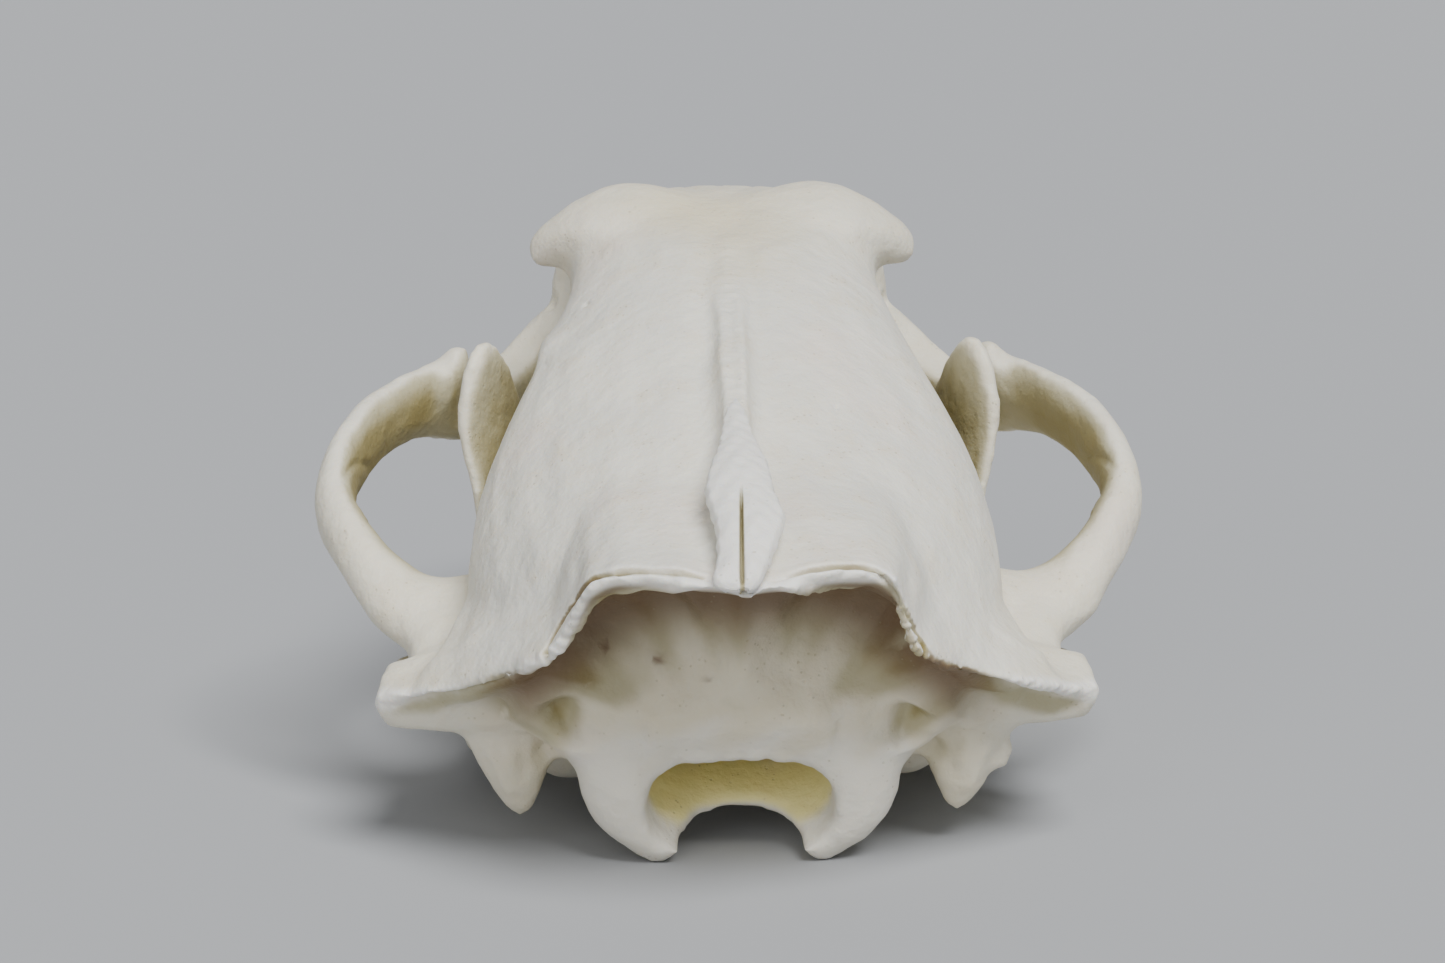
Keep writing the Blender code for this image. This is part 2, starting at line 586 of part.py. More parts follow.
def cranium_pieces():
    """The solid bone of the cranium, as pieces that run into each other."""
    pieces = [
        loft("case", [cross_section(*row) for row in eased(CRANIUM)]),
        loft("floor", [cross_section(*row, 2.0, 3.0) for row in eased(SKULL_FLOOR)]),
        loft("crest_web", [
            cross_section(forward, CREST_WEB, top - 0.5, CREST_ROOT, top - 2.0, 2.0, 4.0)
            for forward, _, top in eased(CREST)[:-3]
        ]),
        loft("crest_plate", [
            cross_section(forward, half_width, top, top - CREST_PLATE, top - CREST_PLATE / 2, 3.0, 2.0)
            for forward, half_width, top in eased(CREST)
        ]),
        nuchal_crest(),
    ]
    for side in (1, -1):
        pieces += [
            bar("arch", ARCH, side, sides=18),
            bar("jugal_horn", JUGAL_HORN, side, upright=(0, 1, 0)),
            bar("postorbital", POSTORBITAL, side),
            bar("tooth_ridge", TOOTH_RIDGE, side, squareness=2.8),
            bar("canine_swelling", CANINE_SWELLING, side, upright=(0, 1, 0)),
            bar("mastoid", MASTOID, side, squareness=2.8),
            bar("meatus_shelf", MEATUS_SHELF, side),
            bar("exoccipital", EXOCCIPITAL, side),
            bar("paroccipital", PAROCCIPITAL, side, upright=(0, 1, 0)),
            bar("ear_tube", EAR_TUBE, side),
            bar("condyle", CONDYLE, side, upright=(0, 1, 0)),
            bar("postglenoid", POSTGLENOID, side),
            bar("hamulus", HAMULUS, side, upright=(0, 1, 0)),
            ball("bulla", *BULLA, side),
        ]
    return pieces


def case_half_width(forward, up):
    """Half width of the braincase at a place forward of the condyles and a height."""
    rows = eased(CRANIUM)
    half_width, top, bottom, widest, above, below = min(rows, key=lambda row: abs(row[0] - forward))[1:]
    reach, squareness = (top - widest, above) if up > widest else (widest - bottom, below)
    return half_width * max(0.0, 1 - (abs(up - widest) / reach) ** squareness) ** (1 / squareness)


def nuchal_crest():
    """The shelf that overhangs the occiput from one mastoid process to the other."""
    rings = []
    rows = [(-row[0], *row[1:]) for row in NUCHAL[:0:-1]] + list(NUCHAL)
    for out, edge, roof, under in rows:
        met = math.copysign(min(abs(out), max(0.0, case_half_width(*roof) - NUCHAL_SUNK)), out)
        rings.append([
            at(met, roof[0], roof[1] - NUCHAL_SUNK),
            at(out, *edge),
            at(out, edge[0] + 0.6, edge[1] - NUCHAL_EDGE),
            at(out * NUCHAL_ROOT_SHARE, *under),
        ])
    return loft("nuchal_crest", rings)


def cranium_hollows():
    """What is cut out of the cranium."""
    hollows = [
        bar("brain_hole", BRAIN_HOLE, sides=24, squareness=2.6),
        bar("condyle_notch", CONDYLE_NOTCH, sides=24, upright=(0, 1, 0)),
        bar("nose_hole", NOSE_HOLE, sides=20),
        bar("throat", THROAT, sides=16),
    ]
    for side in (1, -1):
        hollows += [
            ball("occipital_hollow", *OCCIPITAL_HOLLOW, side),
            ball("orbit", *ORBIT, side),
            ball("cheek_hollow", *CHEEK_HOLLOW, side),
            bar("cheek_hole", CHEEK_HOLE, side),
            bar("ear_hole", EAR_HOLE, side),
            bar("canine_room", LOWER_CANINE, side, TOOTH_CLEARANCE, upright=(0, 1, 0)),
            *jaw_ramus(side, JAW_CLEARANCE),
        ]
    return hollows


def whole_cranium():
    """The bone of the cranium in one piece, without its teeth."""
    first, *rest = cranium_pieces()
    boolean(first, rest, "UNION")
    boolean(first, cranium_hollows(), "DIFFERENCE")
    return grown_together(first, CRANIUM_TRIANGLES)


def half_jaw(side):
    """The bone of one half of the lower jaw, without its teeth."""
    first, *rest = [
        bar("jaw_body", JAW_BODY, side, sides=18, squareness=2.5),
        bar("chin", CHIN, side),
        *jaw_ramus(side),
    ]
    boolean(first, rest, "UNION")
    boolean(first, [ball("chewing_hollow", *CHEWING_HOLLOW, side)], "DIFFERENCE")
    jaw = grown_together(first, JAW_TRIANGLES)
    boolean(jaw, [block("other_half", (-FAR, -FAR, -FAR), (GAP / 2, FAR, FAR), side=side)], "DIFFERENCE")
    return jaw


def resting_pitch(cranium, jaw):
    """The angle, snout up, at which the condyles and the lower jaw's border touch one level, and that level."""
    def lowest(obj, pitch):
        return min(vert.co.z * math.cos(pitch) - vert.co.y * math.sin(pitch) for vert in obj.data.vertices)

    flat, steep = math.radians(5.0), math.radians(40.0)
    for _ in range(40):
        middle = (flat + steep) / 2
        if lowest(jaw, middle) < lowest(cranium, middle):
            flat = middle
        else:
            steep = middle
    return middle, lowest(cranium, middle)


def flattened(obj, pitch, level):
    """Cuts off what an object has below a level of the tipped skull."""
    floor = block("floor", (-FAR, -FAR, -FAR), (FAR, FAR, 0.0))
    floor.data.transform(Matrix.Rotation(pitch, 4, "X") @ Matrix.Translation((0, 0, level)))
    return boolean(obj, [floor], "DIFFERENCE")


def finished(obj, name, colour, pose):
    """Names a node, gives it its material and hangs it on the pose."""
    obj.name = obj.data.name = name
    material = bpy.data.materials.new(name + "_bone")
    material.use_nodes = True
    shader = material.node_tree.nodes["Principled BSDF"]
    shader.inputs["Base Color"].default_value = colour
    shader.inputs["Roughness"].default_value = BONE_ROUGHNESS
    shader.inputs["Metallic"].default_value = 0.0
    obj.data.materials.clear()
    obj.data.materials.append(material)
    obj.data.shade_smooth()
    obj.data.set_sharp_from_angle(angle=SHARP_ANGLE)
    obj.parent = pose


def main():
    for obj in list(bpy.data.objects):
        bpy.data.objects.remove(obj)
    skull = bpy.data.collections.new(OBJECT_NAME)
    bpy.context.scene.collection.children.link(skull)

    cranium = whole_cranium()
    jaws = {word: half_jaw(side) for side, word in SIDES}
    pitch, level = resting_pitch(cranium, jaws["left"])
    level += REST_FLAT * MM
    flattened(cranium, pitch, level)

    crest = parted(cranium, "sagittal_crest", *CREST_REGION)
    nodes = [(crest, "sagittal_crest", CREST_BONE)]
    for side, word in SIDES:
        arch = parted(cranium, "arch", *ARCH_REGION, side)
        nodes.append((arch, "zygomatic_arch_" + word, ARCH_BONE))
        bulla = parted(cranium, "bulla", *BULLA_REGION, side=side)
        nodes.append((bulla, "auditory_bulla_" + word, OCCIPUT_BONE))
    face = parted(cranium, "face", (-FAR, FACE_BACK, -FAR), (FAR, FAR, FAR))
    occiput = parted(cranium, "occiput", (-FAR, -FAR, -FAR), (FAR, OCCIPUT_FRONT, FAR))
    upper = [tooth for side, _ in SIDES for tooth in teeth("upper", UPPER_TEETH, UPPER_CANINE, UPPER_GUM, -1, side)]
    boolean(face, upper, "UNION")
    nodes += [
        (cranium, "braincase", BRAINCASE_BONE),
        (occiput, "occiput", OCCIPUT_BONE),
        (face, "face_with_upper_teeth", FACE_BONE),
    ]
    for side, word in SIDES:
        jaw = flattened(jaws[word], pitch, level)
        boolean(jaw, teeth("lower", LOWER_TEETH, LOWER_CANINE, LOWER_GUM, 1, side), "UNION")
        nodes.append((jaw, "lower_jaw_with_teeth_" + word, JAW_BONE))

    pose = bpy.data.objects.new("resting_pose", None)
    skull.objects.link(pose)
    pose.rotation_euler = (-pitch, 0, 0)
    for obj, name, colour in nodes:
        keep_largest(obj)
        finished(obj, name, colour, pose)
    bpy.context.view_layer.update()
    corners = [obj.matrix_world @ vert.co for obj, _, _ in nodes for vert in obj.data.vertices]
    low = Vector(min(corner[i] for corner in corners) for i in range(3))
    high = Vector(max(corner[i] for corner in corners) for i in range(3))
    pose.location = (-(low.x + high.x) / 2, -(low.y + high.y) / 2, -low.z)


main()
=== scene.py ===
# %% [markdown]
# # A wolverine skull on a pale table
#
# The CAD model gives ten plain solids: the cranium parted into eight regions, and the two halves of the
# lower jaw. This script dresses them. It grows the eight regions back into one seamless bone, carves into
# it what muscles, nerves and vessels left there, puts real teeth in their sockets, and gives everything the
# finish of dry, cleaned bone. Every length is in metres, or in millimetres where a name or comment says so.

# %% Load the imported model, which is the fixed frame
import math

import bmesh
import bpy
import numpy as np
from mathutils import Matrix, Vector
from mathutils.bvhtree import BVHTree


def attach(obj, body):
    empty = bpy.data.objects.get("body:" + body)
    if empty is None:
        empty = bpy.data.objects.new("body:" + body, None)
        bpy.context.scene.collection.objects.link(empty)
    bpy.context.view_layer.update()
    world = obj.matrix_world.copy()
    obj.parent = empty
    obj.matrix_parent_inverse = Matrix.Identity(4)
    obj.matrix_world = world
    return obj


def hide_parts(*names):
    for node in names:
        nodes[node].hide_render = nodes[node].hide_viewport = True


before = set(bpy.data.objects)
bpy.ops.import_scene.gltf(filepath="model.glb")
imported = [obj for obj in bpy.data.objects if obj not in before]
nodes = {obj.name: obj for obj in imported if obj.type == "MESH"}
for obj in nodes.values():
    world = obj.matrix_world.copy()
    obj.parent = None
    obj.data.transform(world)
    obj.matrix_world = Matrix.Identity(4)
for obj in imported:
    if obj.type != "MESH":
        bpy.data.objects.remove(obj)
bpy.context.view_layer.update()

MM = 0.001
print("solids:", len(nodes))

# %% [markdown]
# ## Places on the skull
#
# Zoologists describe a skull square to its palate, but this one lies tipped back, with its snout in the
# air. So that the places below can be read on any wolverine skull, they are given as (side, forward, up) in
# millimetres: side from the mid-plane, positive on the animal's left, forward from the occipital condyles
# towards the snout, and up from the condyles' lower tips. One matrix turns such a place into the pose.

# %% From the skull's own measures to the pose
RESTING_PITCH = math.radians(19.22)  # snout up, as the CAD model rests on its condyles and lower jaw
CONDYLE_POINT = Vector((0.01, 53.25, 0.85)) * MM  # where (0, 0, 0) of the skull lies in the pose
SIDES = ((1, "left"), (-1, "right"))

pose = Matrix.Translation(CONDYLE_POINT) @ Matrix.Rotation(-RESTING_PITCH, 4, "X")
pose_turn = np.array(pose.to_3x3())
pose_shift = np.array(CONDYLE_POINT)


def at(side, forward, up):
    """A place of the skull, in the pose, in metres."""
    return pose @ (Vector((side, -forward, up)) * MM)


def to_skull(points):
    """Points of the pose, as rows of (side, forward, up) in millimetres."""
    return (points - pose_shift) @ pose_turn / MM * (1, -1, 1)


def to_pose(rows):
    """Rows of (side, forward, up) in millimetres, as points of the pose."""
    return (rows * (1, -1, 1) * MM) @ pose_turn.T + pose_shift


print("snout tip:", [round(value, 4) for value in at(0, 143, 0)])

# %% [markdown]
# ## The camera
#
# The photograph looks at the skull from behind and a little above, from about half a metre away with a long
# lens, so that the arches on the far side of the braincase are only a little smaller than the crest in
# front.

# %% Camera at the photograph's angle
VIEW_ANGLE = math.radians(30)  # above the plane of the palate, which itself is tipped back
VIEW_YAW = math.radians(1.4)
VIEW_DISTANCE = 0.45
VIEW_RISE, VIEW_SHIFT = 0.0432, 0.0021  # of the line of sight over the condyles, and to the skull's left
AIM_FORWARD, AIM_UP = 0.012, 0.015  # between the mastoid processes, in the skull's own frame
PHOTO_WIDTH, PHOTO_HEIGHT, PHOTO_FOCUS = 1445, 963, 3870  # the photograph and its focal length, in pixels

looked_at = Vector((0, -AIM_FORWARD, AIM_UP))
back = Vector((0, math.cos(VIEW_ANGLE), math.sin(VIEW_ANGLE)))
up = Vector((0, -math.sin(VIEW_ANGLE), math.cos(VIEW_ANGLE)))
rise = VIEW_RISE - (AIM_UP * math.cos(VIEW_ANGLE) + AIM_FORWARD * math.sin(VIEW_ANGLE))
turn = Matrix.Rotation(-VIEW_YAW, 4, "Z")
placed = turn @ Matrix(((-1, up.x, back.x, 0), (0, up.y, back.y, 0), (0, up.z, back.z, 0), (0, 0, 0, 1)))
placed.translation = turn @ (looked_at + back * VIEW_DISTANCE + up * rise) + Vector((VIEW_SHIFT, 0, 0))

camera = bpy.data.objects.new("camera", bpy.data.cameras.new("camera"))
bpy.context.scene.collection.objects.link(camera)
camera.matrix_world = pose @ placed
camera.data.sensor_width = 36
camera.data.lens = PHOTO_FOCUS / PHOTO_WIDTH * camera.data.sensor_width
camera.data.clip_start = 0.01
bpy.context.scene.camera = camera
print("camera stands", round(camera.matrix_world.translation.z, 3), "m above the table")

# %% [markdown]
# ## Table and light
#
# A material is a tree of nodes. Two helpers keep the trees below short: one turns the hex colours that
# painters use into the linear values that sockets take, and one adds a node with its settings and links.

# %% Nodes and colours of the materials
def linear(code, alpha=1.0):
    """An sRGB hex colour as the linear values that Blender's sockets take."""
    values = [int(code[i:i + 2], 16) / 255 for i in (1, 3, 5)]
    return [v / 12.92 if v <= 0.04045 else ((v + 0.055) / 1.055) ** 2.4 for v in values] + [alpha]


def add_node(tree, kind, settings=None, **inputs):
    """A node with its settings, and each input either linked to another node's output or given a value."""
    node = tree.nodes.new(kind)
    for name, value in (settings or {}).items():
        setattr(node, name, value)
    for name, value in inputs.items():
        key = int(name[1:]) if name[0] == "_" else name.replace("_", " ")
        socket = node.inputs[key]
        if isinstance(value, bpy.types.NodeSocket):
            tree.links.new(value, socket)
        else:
            socket.default_value = value
    return node


def new_material(name):
    """A material, its tree of nodes, and the shader in it."""
    material = bpy.data.materials.new(name)
    material.use_nodes = True
    return material, material.node_tree, material.node_tree.nodes["Principled BSDF"]


# %% [markdown]
# The table top is one large round face, far wider than the camera's view, so that no edge of it shows. It
# is painted board, sanded and rolled with matt paint: it has no gloss, and only catches the skull's soft
# shadow.
#
# Bone is pale and matt, so hard light would burn out the braincase and lose the fine relief. One soft light
# stands high over the skull on the camera's side: it reaches the condyles, but the nuchal crest shades the
# hollow under it, as in the photograph. A weak one beside the camera opens that shade. Each is a sun with a
# wide disc: the wider the disc, the softer the shadow.

# %% The table top, and the soft lights over it
TABLE_RADIUS = 3.0

shape = bmesh.new()
bmesh.ops.create_circle(shape, cap_ends=True, segments=96, radius=TABLE_RADIUS)
table = bpy.data.objects.new("table_top", bpy.data.meshes.new("table_top"))
shape.to_mesh(table.data)
shape.free()
bpy.context.scene.collection.objects.link(table)

painted_board, tree, shader = new_material("matt_painted_board")
shader.inputs["Base Color"].default_value = linear("#a9abae")
shader.inputs["Roughness"].default_value = 0.9
shader.inputs["Specular IOR Level"].default_value = 0.2
table.data.materials.append(painted_board)


def soft_light(name, come_from, spread, strength):
    """A wide light so far away that it falls evenly on the whole table; the spread is in degrees."""
    light = bpy.data.objects.new(name, bpy.data.lights.new(name, "SUN"))
    light.data.angle = math.radians(spread)
    light.data.energy = strength
    light.rotation_euler = Vector(come_from).to_track_quat("Z", "Y").to_euler()
    bpy.context.scene.collection.objects.link(light)


soft_light("key_softbox_overhead", (-0.26, 0.50, 0.82), 30, 3.9)
soft_light("fill_softbox_beside_camera", (0.30, 0.90, 0.30), 60, 1.15)
room = bpy.data.worlds.new("room")
room.use_nodes = True
room.node_tree.nodes["Background"].inputs["Color"].default_value = linear("#e4e6ea")
room.node_tree.nodes["Background"].inputs["Strength"].default_value = 0.34
bpy.context.scene.world = room
print("lights:", sorted(light.name for light in bpy.data.lights))

# %% [markdown]
# ## Growing the bone
#
# The cranium is one bone, but the CAD model parts it into regions with cuts of 0.3 mm, and its solids have
# few faces. A voxel remesh is the natural way back: each region's copy is swollen a little so that the cuts
# close, all of them are remeshed into one even skin, and the swelling is taken off again. Smoothing that
# skin would wear away the crests as well, so each point has a firmness, and firm points hardly move. One
# level of subdivision then gives enough points to carve.

# %% Objects, their points, and copies of the solids
def link(name, mesh):
    obj = bpy.data.objects.new(name, mesh)
    bpy.context.scene.collection.objects.link(obj)
    return obj


def settle(obj):
    """Makes an object's modifiers part of its mesh."""
    bpy.context.view_layer.update()
    mesh = bpy.data.meshes.new_from_object(obj.evaluated_get(bpy.context.evaluated_depsgraph_get()))
    obj.modifiers.clear()
    obj.data = mesh
    return obj


def merged_copy(name):
    """A bmesh of a CAD node with the points of its loose triangles merged."""
    shape = bmesh.new()
    shape.from_mesh(nodes[name].data)
    bmesh.ops.remove_doubles(shape, verts=shape.verts, dist=1e-6)
    return shape


def points_and_normals(obj):
    """An object's points and their normals, in the pose."""
    count = len(obj.data.vertices)
    points, normals = np.empty(count * 3, np.float32), np.empty(count * 3, np.float32)
    obj.data.vertices.foreach_get("co", points)
    obj.data.vertices.foreach_get("normal", normals)
    return points.reshape(-1, 3), normals.reshape(-1, 3)


def surface(obj):
    """An object's points and their normals, as rows of the skull's own measures."""
    points, normals = points_and_normals(obj)
    return to_skull(points), (normals @ pose_turn) * (1, -1, 1)


def put(obj, spots):
    """Moves an object's points to rows of the skull's own measures."""
    obj.data.vertices.foreach_set("co", to_pose(spots).astype(np.float32).ravel())
    obj.data.update()


def placed_mesh(name, shape):
    """An object from a bmesh in the skull's measures, with its faces turned outwards."""
    for vert in shape.verts:
        vert.co = at(*vert.co)
    shape.normal_update()
    bmesh.ops.recalc_face_normals(shape, faces=shape.faces)
    obj = link(name, bpy.data.meshes.new(name))
    shape.to_mesh(obj.data)
    shape.free()
    return obj


# %% [markdown]
# The solids of the jaws carry plain teeth, which real ones replace below. A box that covers the tooth rows
# is taken away from a copy of the solid by a Boolean modifier. The box is a cube whose eight corners are
# moved to their places in the pose.

# %% Cut the plain teeth off a copy
def without_teeth(shape, low, high):
    """Cuts off what a solid has inside a box of the skull, which is where its plain teeth are."""
    obj = link("with_plain_teeth", bpy.data.meshes.new("with_plain_teeth"))
    shape.to_mesh(obj.data)
    shape.free()
    box = bmesh.new()
    bmesh.ops.create_cube(box, size=1.0)
    sizes, middle = [b - a for a, b in zip(low, high)], [(a + b) / 2 for a, b in zip(low, high)]
    for vert in box.verts:
        vert.co = at(*(vert.co[i] * sizes[i] + middle[i] for i in range(3)))
    box.normal_update()
    bmesh.ops.recalc_face_normals(box, faces=box.faces)
    cutter = link("tooth_box", bpy.data.meshes.new("tooth_box"))
    box.to_mesh(cutter.data)
    box.free()
    modifier = obj.modifiers.new("cut", "BOOLEAN")
    modifier.operation, modifier.solver, modifier.object = "DIFFERENCE", "MANIFOLD", cutter
    settle(obj)
    bare = bmesh.new()
    bare.from_mesh(obj.data)
    for used in (obj, cutter):
        bpy.data.objects.remove(used)
    return bare


# %% [markdown]
# A voxel remesh can also leave a skin round a sealed hollow inside the bone. Only the outermost surface is
# bone that can be seen, so the largest one is kept.

# %% Grow solids into one skin
SWELLING = 0.22 * MM  # more than half of the cuts between the solids
FINE = 0.8  # millimetres between the points of the first skin


def keep_outer_skin(obj):
    """Leaves only the largest of an object's separate surfaces."""
    shape = bmesh.new()
    shape.from_mesh(obj.data)
    left, found = set(shape.verts), []
    while left:
        group, edge = [], [left.pop()]
        while edge:
            vert = edge.pop()
            group.append(vert)
            for near in {e.other_vert(vert) for e in vert.link_edges} & left:
                left.discard(near)
                edge.append(near)
        found.append(group)
    found.sort(key=len)
    bmesh.ops.delete(shape, geom=[vert for group in found[:-1] for vert in group], context="VERTS")
    shape.to_mesh(obj.data)
    shape.free()


def one_skin(name, shapes, spacing):
    """Grows several closed bmeshes together into one object with an even skin."""
    whole = bmesh.new()
    for shape in shapes:
        shape.normal_update()
        for vert in shape.verts:
            vert.co += vert.normal * SWELLING
        part = bpy.data.meshes.new("part")
        shape.to_mesh(part)
        shape.free()
        whole.from_mesh(part)
        bpy.data.meshes.remove(part)
    obj = link(name, bpy.data.meshes.new(name))
    whole.to_mesh(obj.data)
    whole.free()
    remesh = obj.modifiers.new("skin", "REMESH")
    remesh.mode = "VOXEL"
    remesh.voxel_size = spacing * MM
    settle(obj)
    keep_outer_skin(obj)
    spots, normals = surface(obj)
    put(obj, spots - normals * SWELLING / MM)
    return obj


# %% [markdown]
# A voxel skin has small steps. Moving each point towards the mean of its neighbours wears them away, but
# shrinks the bone too. So every step in is followed by a slightly longer step out, which leaves large forms
# alone.

# %% Smooth a skin without shrinking it
STEP_IN, STEP_OUT, ROUNDS = 0.6, -0.62, 14


def neighbour_sums(obj, values):
    """For each point the sum of its neighbours' values, and how many neighbours it has."""
    count = len(obj.data.vertices)
    ends = np.empty(len(obj.data.edges) * 2, np.int32)
    obj.data.edges.foreach_get("vertices", ends)
    a, b = ends[::2], ends[1::2]
    sums = [np.bincount(a, row[b], count) + np.bincount(b, row[a], count) for row in values.T]
    return np.stack(sums, axis=1), np.maximum(np.bincount(ends, minlength=count), 1)[:, None]


def evened(obj, spots, firmness):
    """Spots of an object after some rounds of smoothing. A firmness of 1 would leave them where they are."""
    for step in (STEP_IN, STEP_OUT) * ROUNDS:
        total, count = neighbour_sums(obj, spots)
        spots = spots + (total / count - spots) * step * (1 - firmness)
    return spots


# %% [markdown]
# ## Crests keep their edge
#
# Two curves say where the bone is firm: the free edge of the nuchal crest, which runs like a gable from one
# mastoid process to the other, and the rim of the leaf-shaped plate on the rear of the sagittal crest. Both
# follow the CAD model. A spline through a few measured points gives each its even course.

# %% Curves of the crests, and how far a spot is from a curve
NUCHAL_EDGE = (
    (0.0, -14.8, 46.0), (8.0, -12.6, 46.0), (14.0, -11.2, 45.3), (17.2, -10.6, 43.2), (19.0, -10.0, 39.0),
    (21.8, -8.6, 33.4), (27.5, -3.6, 27.4), (32.5, 1.2, 22.6), (37.5, 6.0, 19.0), (42.2, 10.6, 16.0),
)
LEAF = (  # forward, reach to the left and to the right, top
    (27.0, 0.5, 0.5, 45.6), (23.0, 0.9, 0.8, 46.5), (19.5, 1.5, 1.3, 47.0), (15.0, 1.95, 1.75, 47.5),
    (11.0, 2.5, 2.5, 47.9), (7.5, 3.3, 3.2, 48.1), (3.0, 3.95, 3.6, 48.3), (0.9, 4.05, 3.75, 48.3),
    (-3.9, 3.4, 4.7, 48.2), (-6.8, 3.0, 4.2, 48.1), (-9.5, 3.0, 3.5, 47.8), (-12.0, 3.05, 2.8, 47.4),
    (-14.2, 3.55, 2.1, 47.1), (-15.9, 3.3, 1.3, 46.7), (-16.5, 2.0, 0.7, 46.4), (-16.7, 0.8, 0.2, 46.2),
)


def spline(rows, step):
    """Rows along a smooth curve through the given ones, about a step apart."""
    rows, curve = [np.array(row, float) for row in rows], []
    for i in range(len(rows) - 1):
        a, b, c, d = rows[max(i - 1, 0)], rows[i], rows[i + 1], rows[min(i + 2, len(rows) - 1)]
        count = max(1, round(float(np.linalg.norm(c[:3] - b[:3])) / step))
        for t in np.arange(count) / count:
            curve.append(
                b + 0.5 * t * (c - a + t * (2 * a - 5 * b + 4 * c - d + t * (3 * (b - c) + d - a)))
            )
    return np.array(curve + [rows[-1]])


def mirrored(rows):
    return [(-row[0], *row[1:]) for row in rows]


def near_curve(curve, spots):
    """Each spot's distance from a curve, and how far along it the nearest place is, from 0 to 1."""
    curve = np.array(curve, float)[:, :3]
    lengths = np.maximum(np.linalg.norm(np.diff(curve, axis=0), axis=1), 1e-9)
    starts = np.concatenate([[0], np.cumsum(lengths)])
    distance, share = np.full(len(spots), 1e3), np.zeros(len(spots))
    for a, b, start, length in zip(curve, curve[1:], starts, lengths):
        t = np.clip((spots - a) @ (b - a) / length**2, 0, 1)
        d = np.linalg.norm(spots - a - t[:, None] * (b - a), axis=1)
        nearer = d < distance
        distance[nearer], share[nearer] = d[nearer], (start + t[nearer] * length) / starts[-1]
    return distance, share


nuchal_line = spline(mirrored(NUCHAL_EDGE)[:0:-1] + list(NUCHAL_EDGE), 1.0)
firm_edge = nuchal_line + (0, 0.3, -1.2)  # inside the bone, just under the crest's free edge
along_it = np.linalg.norm(np.diff(nuchal_line, axis=0), axis=1).sum()
print("nuchal crest:", round(float(along_it)), "mm along its edge")

# %% [markdown]
# ## The bones
#
# The cranium takes eight of the ten solids. The two halves of the lower jaw stay pieces of their own,
# because a wolverine's are joined only by gristle at the chin, which cleaning removes.

# %% Grow the cranium and the two halves of the lower jaw
CRANIUM_NODES = (
    "braincase", "sagittal_crest", "occiput", "auditory_bulla_left", "auditory_bulla_right",
    "zygomatic_arch_left", "zygomatic_arch_right", "face_with_upper_teeth",
)
UPPER_TOOTH_BOX = ((-60, 71.5, -40), (60, 160, -3.0))  # its low and its high corner
LOWER_TOOTH_BOX = ((-60, 72.8, -9.5), (60, 160, 30))
EDGE_REACH, LEAF_REACH, TIP_REACH = 2.2, 3.2, 2.6  # millimetres over which firmness fades
FIRM_TIPS = (  # spots that end in a point or a thin edge
    (9.0, 1.2, -1.0), (25.4, 7.8, 0.8), (24.6, 86, 34.4), (34.4, 81.2, 23.6), (8.0, 53, -5.4),
    (30.2, 32.6, -7.6), (30.6, 57.4, 36.5), (41, 33, 4),
)


def firmness_of(spots):
    """From 0, soft, to 0.9, where a crest or a tip keeps its shape."""
    edge = near_curve(firm_edge, spots)[0]
    leaf = near_curve([(0, row[0], row[3] - 0.8) for row in LEAF], spots)[0]
    on_left = spots * (np.sign(spots[:, :1]) * (1, 0, 0) + (0, 1, 1))  # each spot or its mirror image
    tips = np.min([np.linalg.norm(on_left - tip, axis=1) for tip in FIRM_TIPS], axis=0)
    nearest = np.minimum(np.minimum(edge / EDGE_REACH, leaf / LEAF_REACH), tips / TIP_REACH)
    return 0.9 * np.exp(-nearest[:, None] ** 2)


def grown(name, shapes):
    """A bone grown from its solids: one skin, smoothed, and with enough points to carve."""
    bone = one_skin(name, shapes, FINE)
    spots, _ = surface(bone)
    put(bone, evened(bone, spots, firmness_of(spots)))
    finer = bone.modifiers.new("finer", "SUBSURF")
    finer.levels = finer.render_levels = 1
    settle(bone)
    print(name, "has", len(bone.data.vertices), "points to carve")
    return bone


face = without_teeth(merged_copy("face_with_upper_teeth"), *UPPER_TOOTH_BOX)
cranium = grown("cranium", [merged_copy(name) for name in CRANIUM_NODES[:-1]] + [face])
jaws = {}
for _, word in SIDES:
    toothless = without_teeth(merged_copy("lower_jaw_with_teeth_" + word), *LOWER_TOOTH_BOX)
    jaws[word] = grown("lower_jaw_" + word, [toothless])

# %% [markdown]
# ## Carving
#
# Muscles and vessels write on bone: ridges where they pull, grooves where they lie, pits where nerves pass.
# Each such mark is a stroke, a few places joined by a spline, that raises or lowers the skin along its own
# normals. The places need not be exact, because the spline is laid onto the skin first.

# %% A stroke, and a pit
def laid_on(tree, curve):
    """A curve's spots moved to the nearest places of a surface."""
    return to_skull(np.array([tree.find_nearest(Vector(point))[0] for point in to_pose(curve)]))


def tree_of(obj):
    return BVHTree.FromObject(obj, bpy.context.evaluated_depsgraph_get())


def carved(spots, normals, tree, strokes):
    """Spots after strokes of (places, width, height, sides), in millimetres. A groove's height is below 0."""
    change = np.zeros(len(spots))
    for places, width, height, sides in strokes:
        for side in sides:
            curve = laid_on(tree, spline([(side * row[0], *row[1:]) for row in places], 1.0))
            low, high = curve.min(0) - 3 * width, curve.max(0) + 3 * width
            near = np.all((spots > low) & (spots < high), axis=1)
            distance, share = near_curve(curve, spots[near])
            # a long stroke fades over its first and its last quarter, a pit doesn't
            fade = np.clip(np.minimum(share, 1 - share) * 4, 0.03, 1) if len(places) > 2 else 1.0
            change[near] += height * fade * np.exp(-(distance / width) ** 2)
    return spots + normals * change[:, None]


